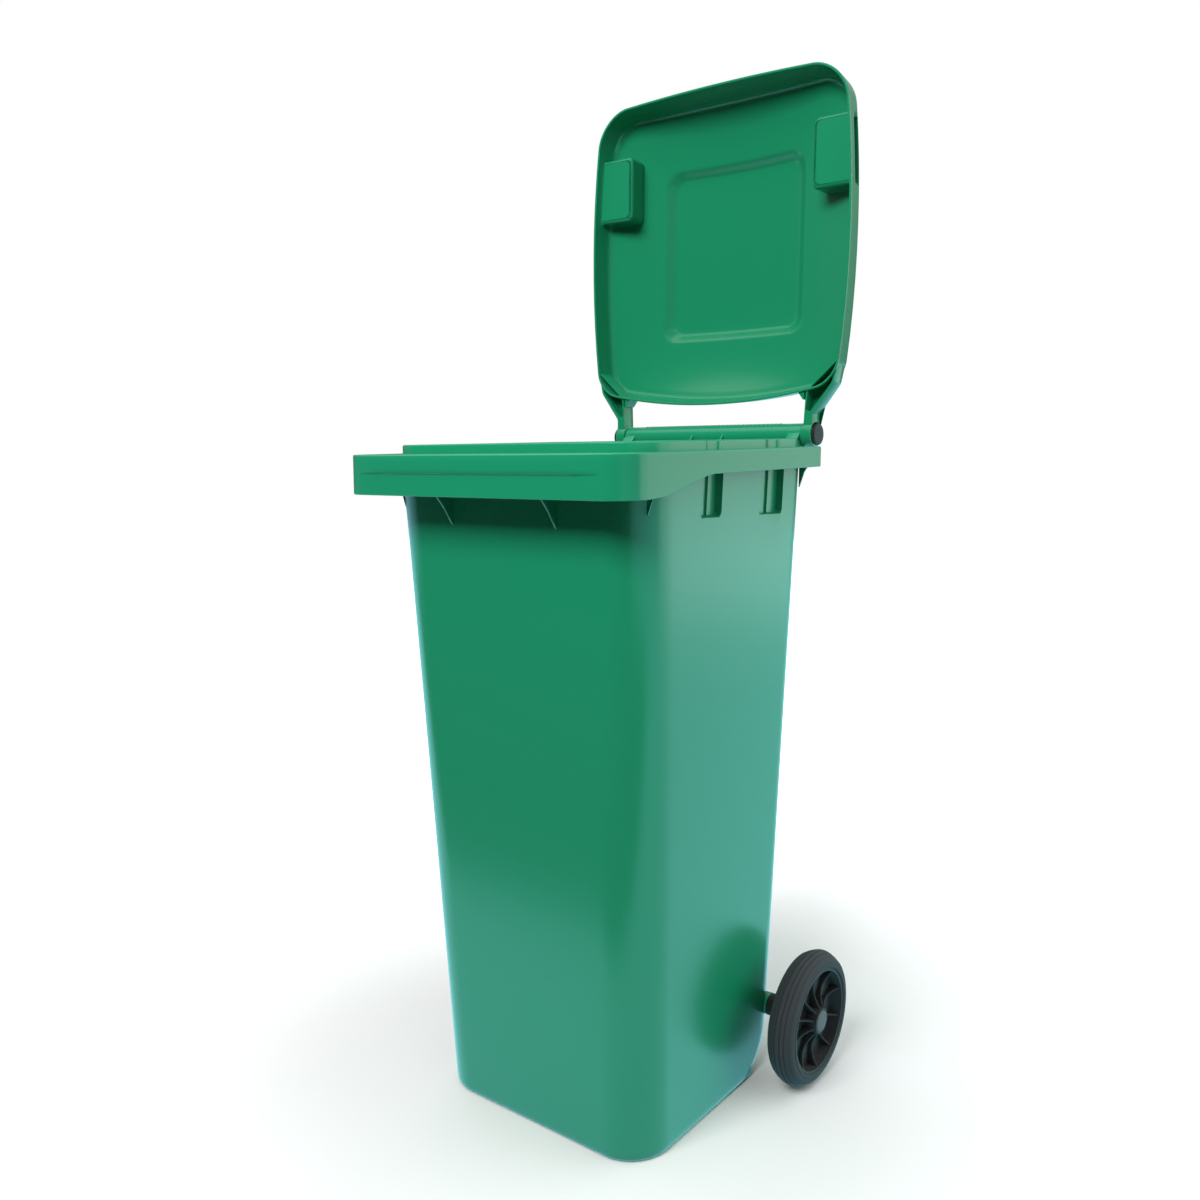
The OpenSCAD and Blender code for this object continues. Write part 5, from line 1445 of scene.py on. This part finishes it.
class BIN_OT_stage(bpy.types.Operator):
    """Lay the floor, set the soft lights and place the camera"""
    bl_idname = "bin.stage"
    bl_label = "Stage"

    def execute(self, context):
        scene = context.scene
        # The floor is a wide disc with a level middle that lies a fifth of a millimetre under the bin.
        t = np.linspace(0, 2 * np.pi, 96, endpoint=False)
        rings = np.array([np.stack([r * np.cos(t), r * np.sin(t), np.full(96, z)], -1)
                          for r, z in ((14, -0.02), (14, -0.0008), (6, -0.0002), (2, -0.0002))])
        mesh = bpy.data.meshes.new("floor")
        points, faces = shell(rings)
        mesh.from_pydata(points.tolist(), [], faces)
        mesh.materials.append(floor_sheet("floor_sheet"))
        floor = bpy.data.objects.new("floor", mesh)
        scene.collection.objects.link(floor)
        # Two dark cards: one on the floor that only reflections see, and a wall that also shades the front.
        paper = card_paper("card_paper")
        card = curtain("floor_card", ((-0.66, 0.001), (-2.2, 0.001), (-3.3, 0.001)), paper)
        card.visible_diffuse = card.visible_shadow = False
        curtain("dark_wall", ((-3.3, 0.0), (-3.4, 1.2), (-3.4, 3.2), (-3.0, 4.1), (-2.2, 4.8), (-0.9, 5.2)),
                paper)
        area_light("top_soft", (-0.9, -1.0, 3.4), (0.0, 0.0, 0.6), (2.4, 2.0), TOP_POWER)
        area_light("right_panel", (3.2, 2.6, 1.5), (0.0, 0.0, 0.75), (4.6, 3.6), SIDE_POWER,
                   (0.76, 0.97, 0.90))
        fill = area_light("front_fill", (0.2, -2.6, 2.9), (0.0, 0.0, 0.6), (2.0, 1.2), FILL_POWER)
        fill.visible_glossy = False
        world = bpy.data.worlds.new("studio")
        scene.world = world
        world.use_nodes = True
        tree = world.node_tree
        tree.nodes.clear()
        way = tree.nodes.new("ShaderNodeTexCoord").outputs["Generated"]
        up = put(tree, "ShaderNodeSeparateXYZ", {0: way}).outputs[2]
        glow = span(tree, up, 0.0, 0.9, 0.10, 0.9, smooth=True)
        soft = put(tree, "ShaderNodeBackground", {"Color": (0.97, 0.99, 1.0, 1.0), "Strength": glow})
        plain = put(tree, "ShaderNodeBackground", {"Color": (1.0, 1.0, 1.0, 1.0), "Strength": 1.0})
        seen = tree.nodes.new("ShaderNodeLightPath").outputs["Is Camera Ray"]
        both = put(tree, "ShaderNodeMixShader", {0: seen, 1: soft.outputs[0], 2: plain.outputs[0]})
        out = tree.nodes.new("ShaderNodeOutputWorld")
        tree.links.new(both.outputs[0], out.inputs[0])
        camera = bpy.data.cameras.new("camera")
        camera.sensor_width, camera.lens = 36.0, 31.47
        camera.shift_x, camera.shift_y = -0.036, 0.0069
        holder = bpy.data.objects.new("camera", camera)
        right = Vector((0.80882, 0.58801, 0.00773))
        up = Vector((-0.08043, 0.09760, 0.99197))
        forward = Vector((-0.58253, 0.80295, -0.12623))
        turn = Matrix((right, up, -forward)).transposed().to_4x4()
        holder.matrix_world = Matrix.Translation((0.9307, -1.2012, 0.9113)) @ turn
        scene.collection.objects.link(holder)
        scene.camera = holder
        scene.view_settings.view_transform = "Standard"
        return {"FINISHED"}


class BIN_PT_panel(bpy.types.Panel):
    """Sizes, colours and building steps of the bin"""
    bl_idname = "BIN_PT_panel"
    bl_label = "Wheeled waste bin"
    bl_space_type = "VIEW_3D"
    bl_region_type = "UI"
    bl_category = "Bin"

    def draw(self, context):
        layout = self.layout
        for group in (context.scene.bin_body, context.scene.bin_handle, context.scene.bin_lid,
                      context.scene.bin_wheels, context.scene.bin_colours):
            box = layout.box()
            for key in group.__annotations__:
                box.prop(group, key)
        for step in STEPS:
            layout.operator(step.bl_idname)


GROUPS = {"bin_body": BinBodySizes, "bin_handle": BinHandleSizes, "bin_lid": BinLidSizes,
          "bin_wheels": BinWheelSizes, "bin_colours": BinColours}
STEPS = (BIN_OT_finishes, BIN_OT_body, BIN_OT_handle, BIN_OT_lid, BIN_OT_wheels, BIN_OT_stage)


def register():
    for one in (*GROUPS.values(), *STEPS, BIN_PT_panel):
        bpy.utils.register_class(one)
    for key, group in GROUPS.items():
        setattr(bpy.types.Scene, key, PointerProperty(type=group))


def unregister():
    for key in GROUPS:
        delattr(bpy.types.Scene, key)
    for one in reversed((*GROUPS.values(), *STEPS, BIN_PT_panel)):
        bpy.utils.unregister_class(one)


def main():
    register()
    for step in (bpy.ops.bin.finishes, bpy.ops.bin.body, bpy.ops.bin.handle, bpy.ops.bin.lid,
                 bpy.ops.bin.wheels,
                 bpy.ops.bin.stage):
        if step() != {"FINISHED"}:
            raise RuntimeError("A building step did not finish")
    bpy.context.view_layer.update()


if __name__ == "__main__":
    main()
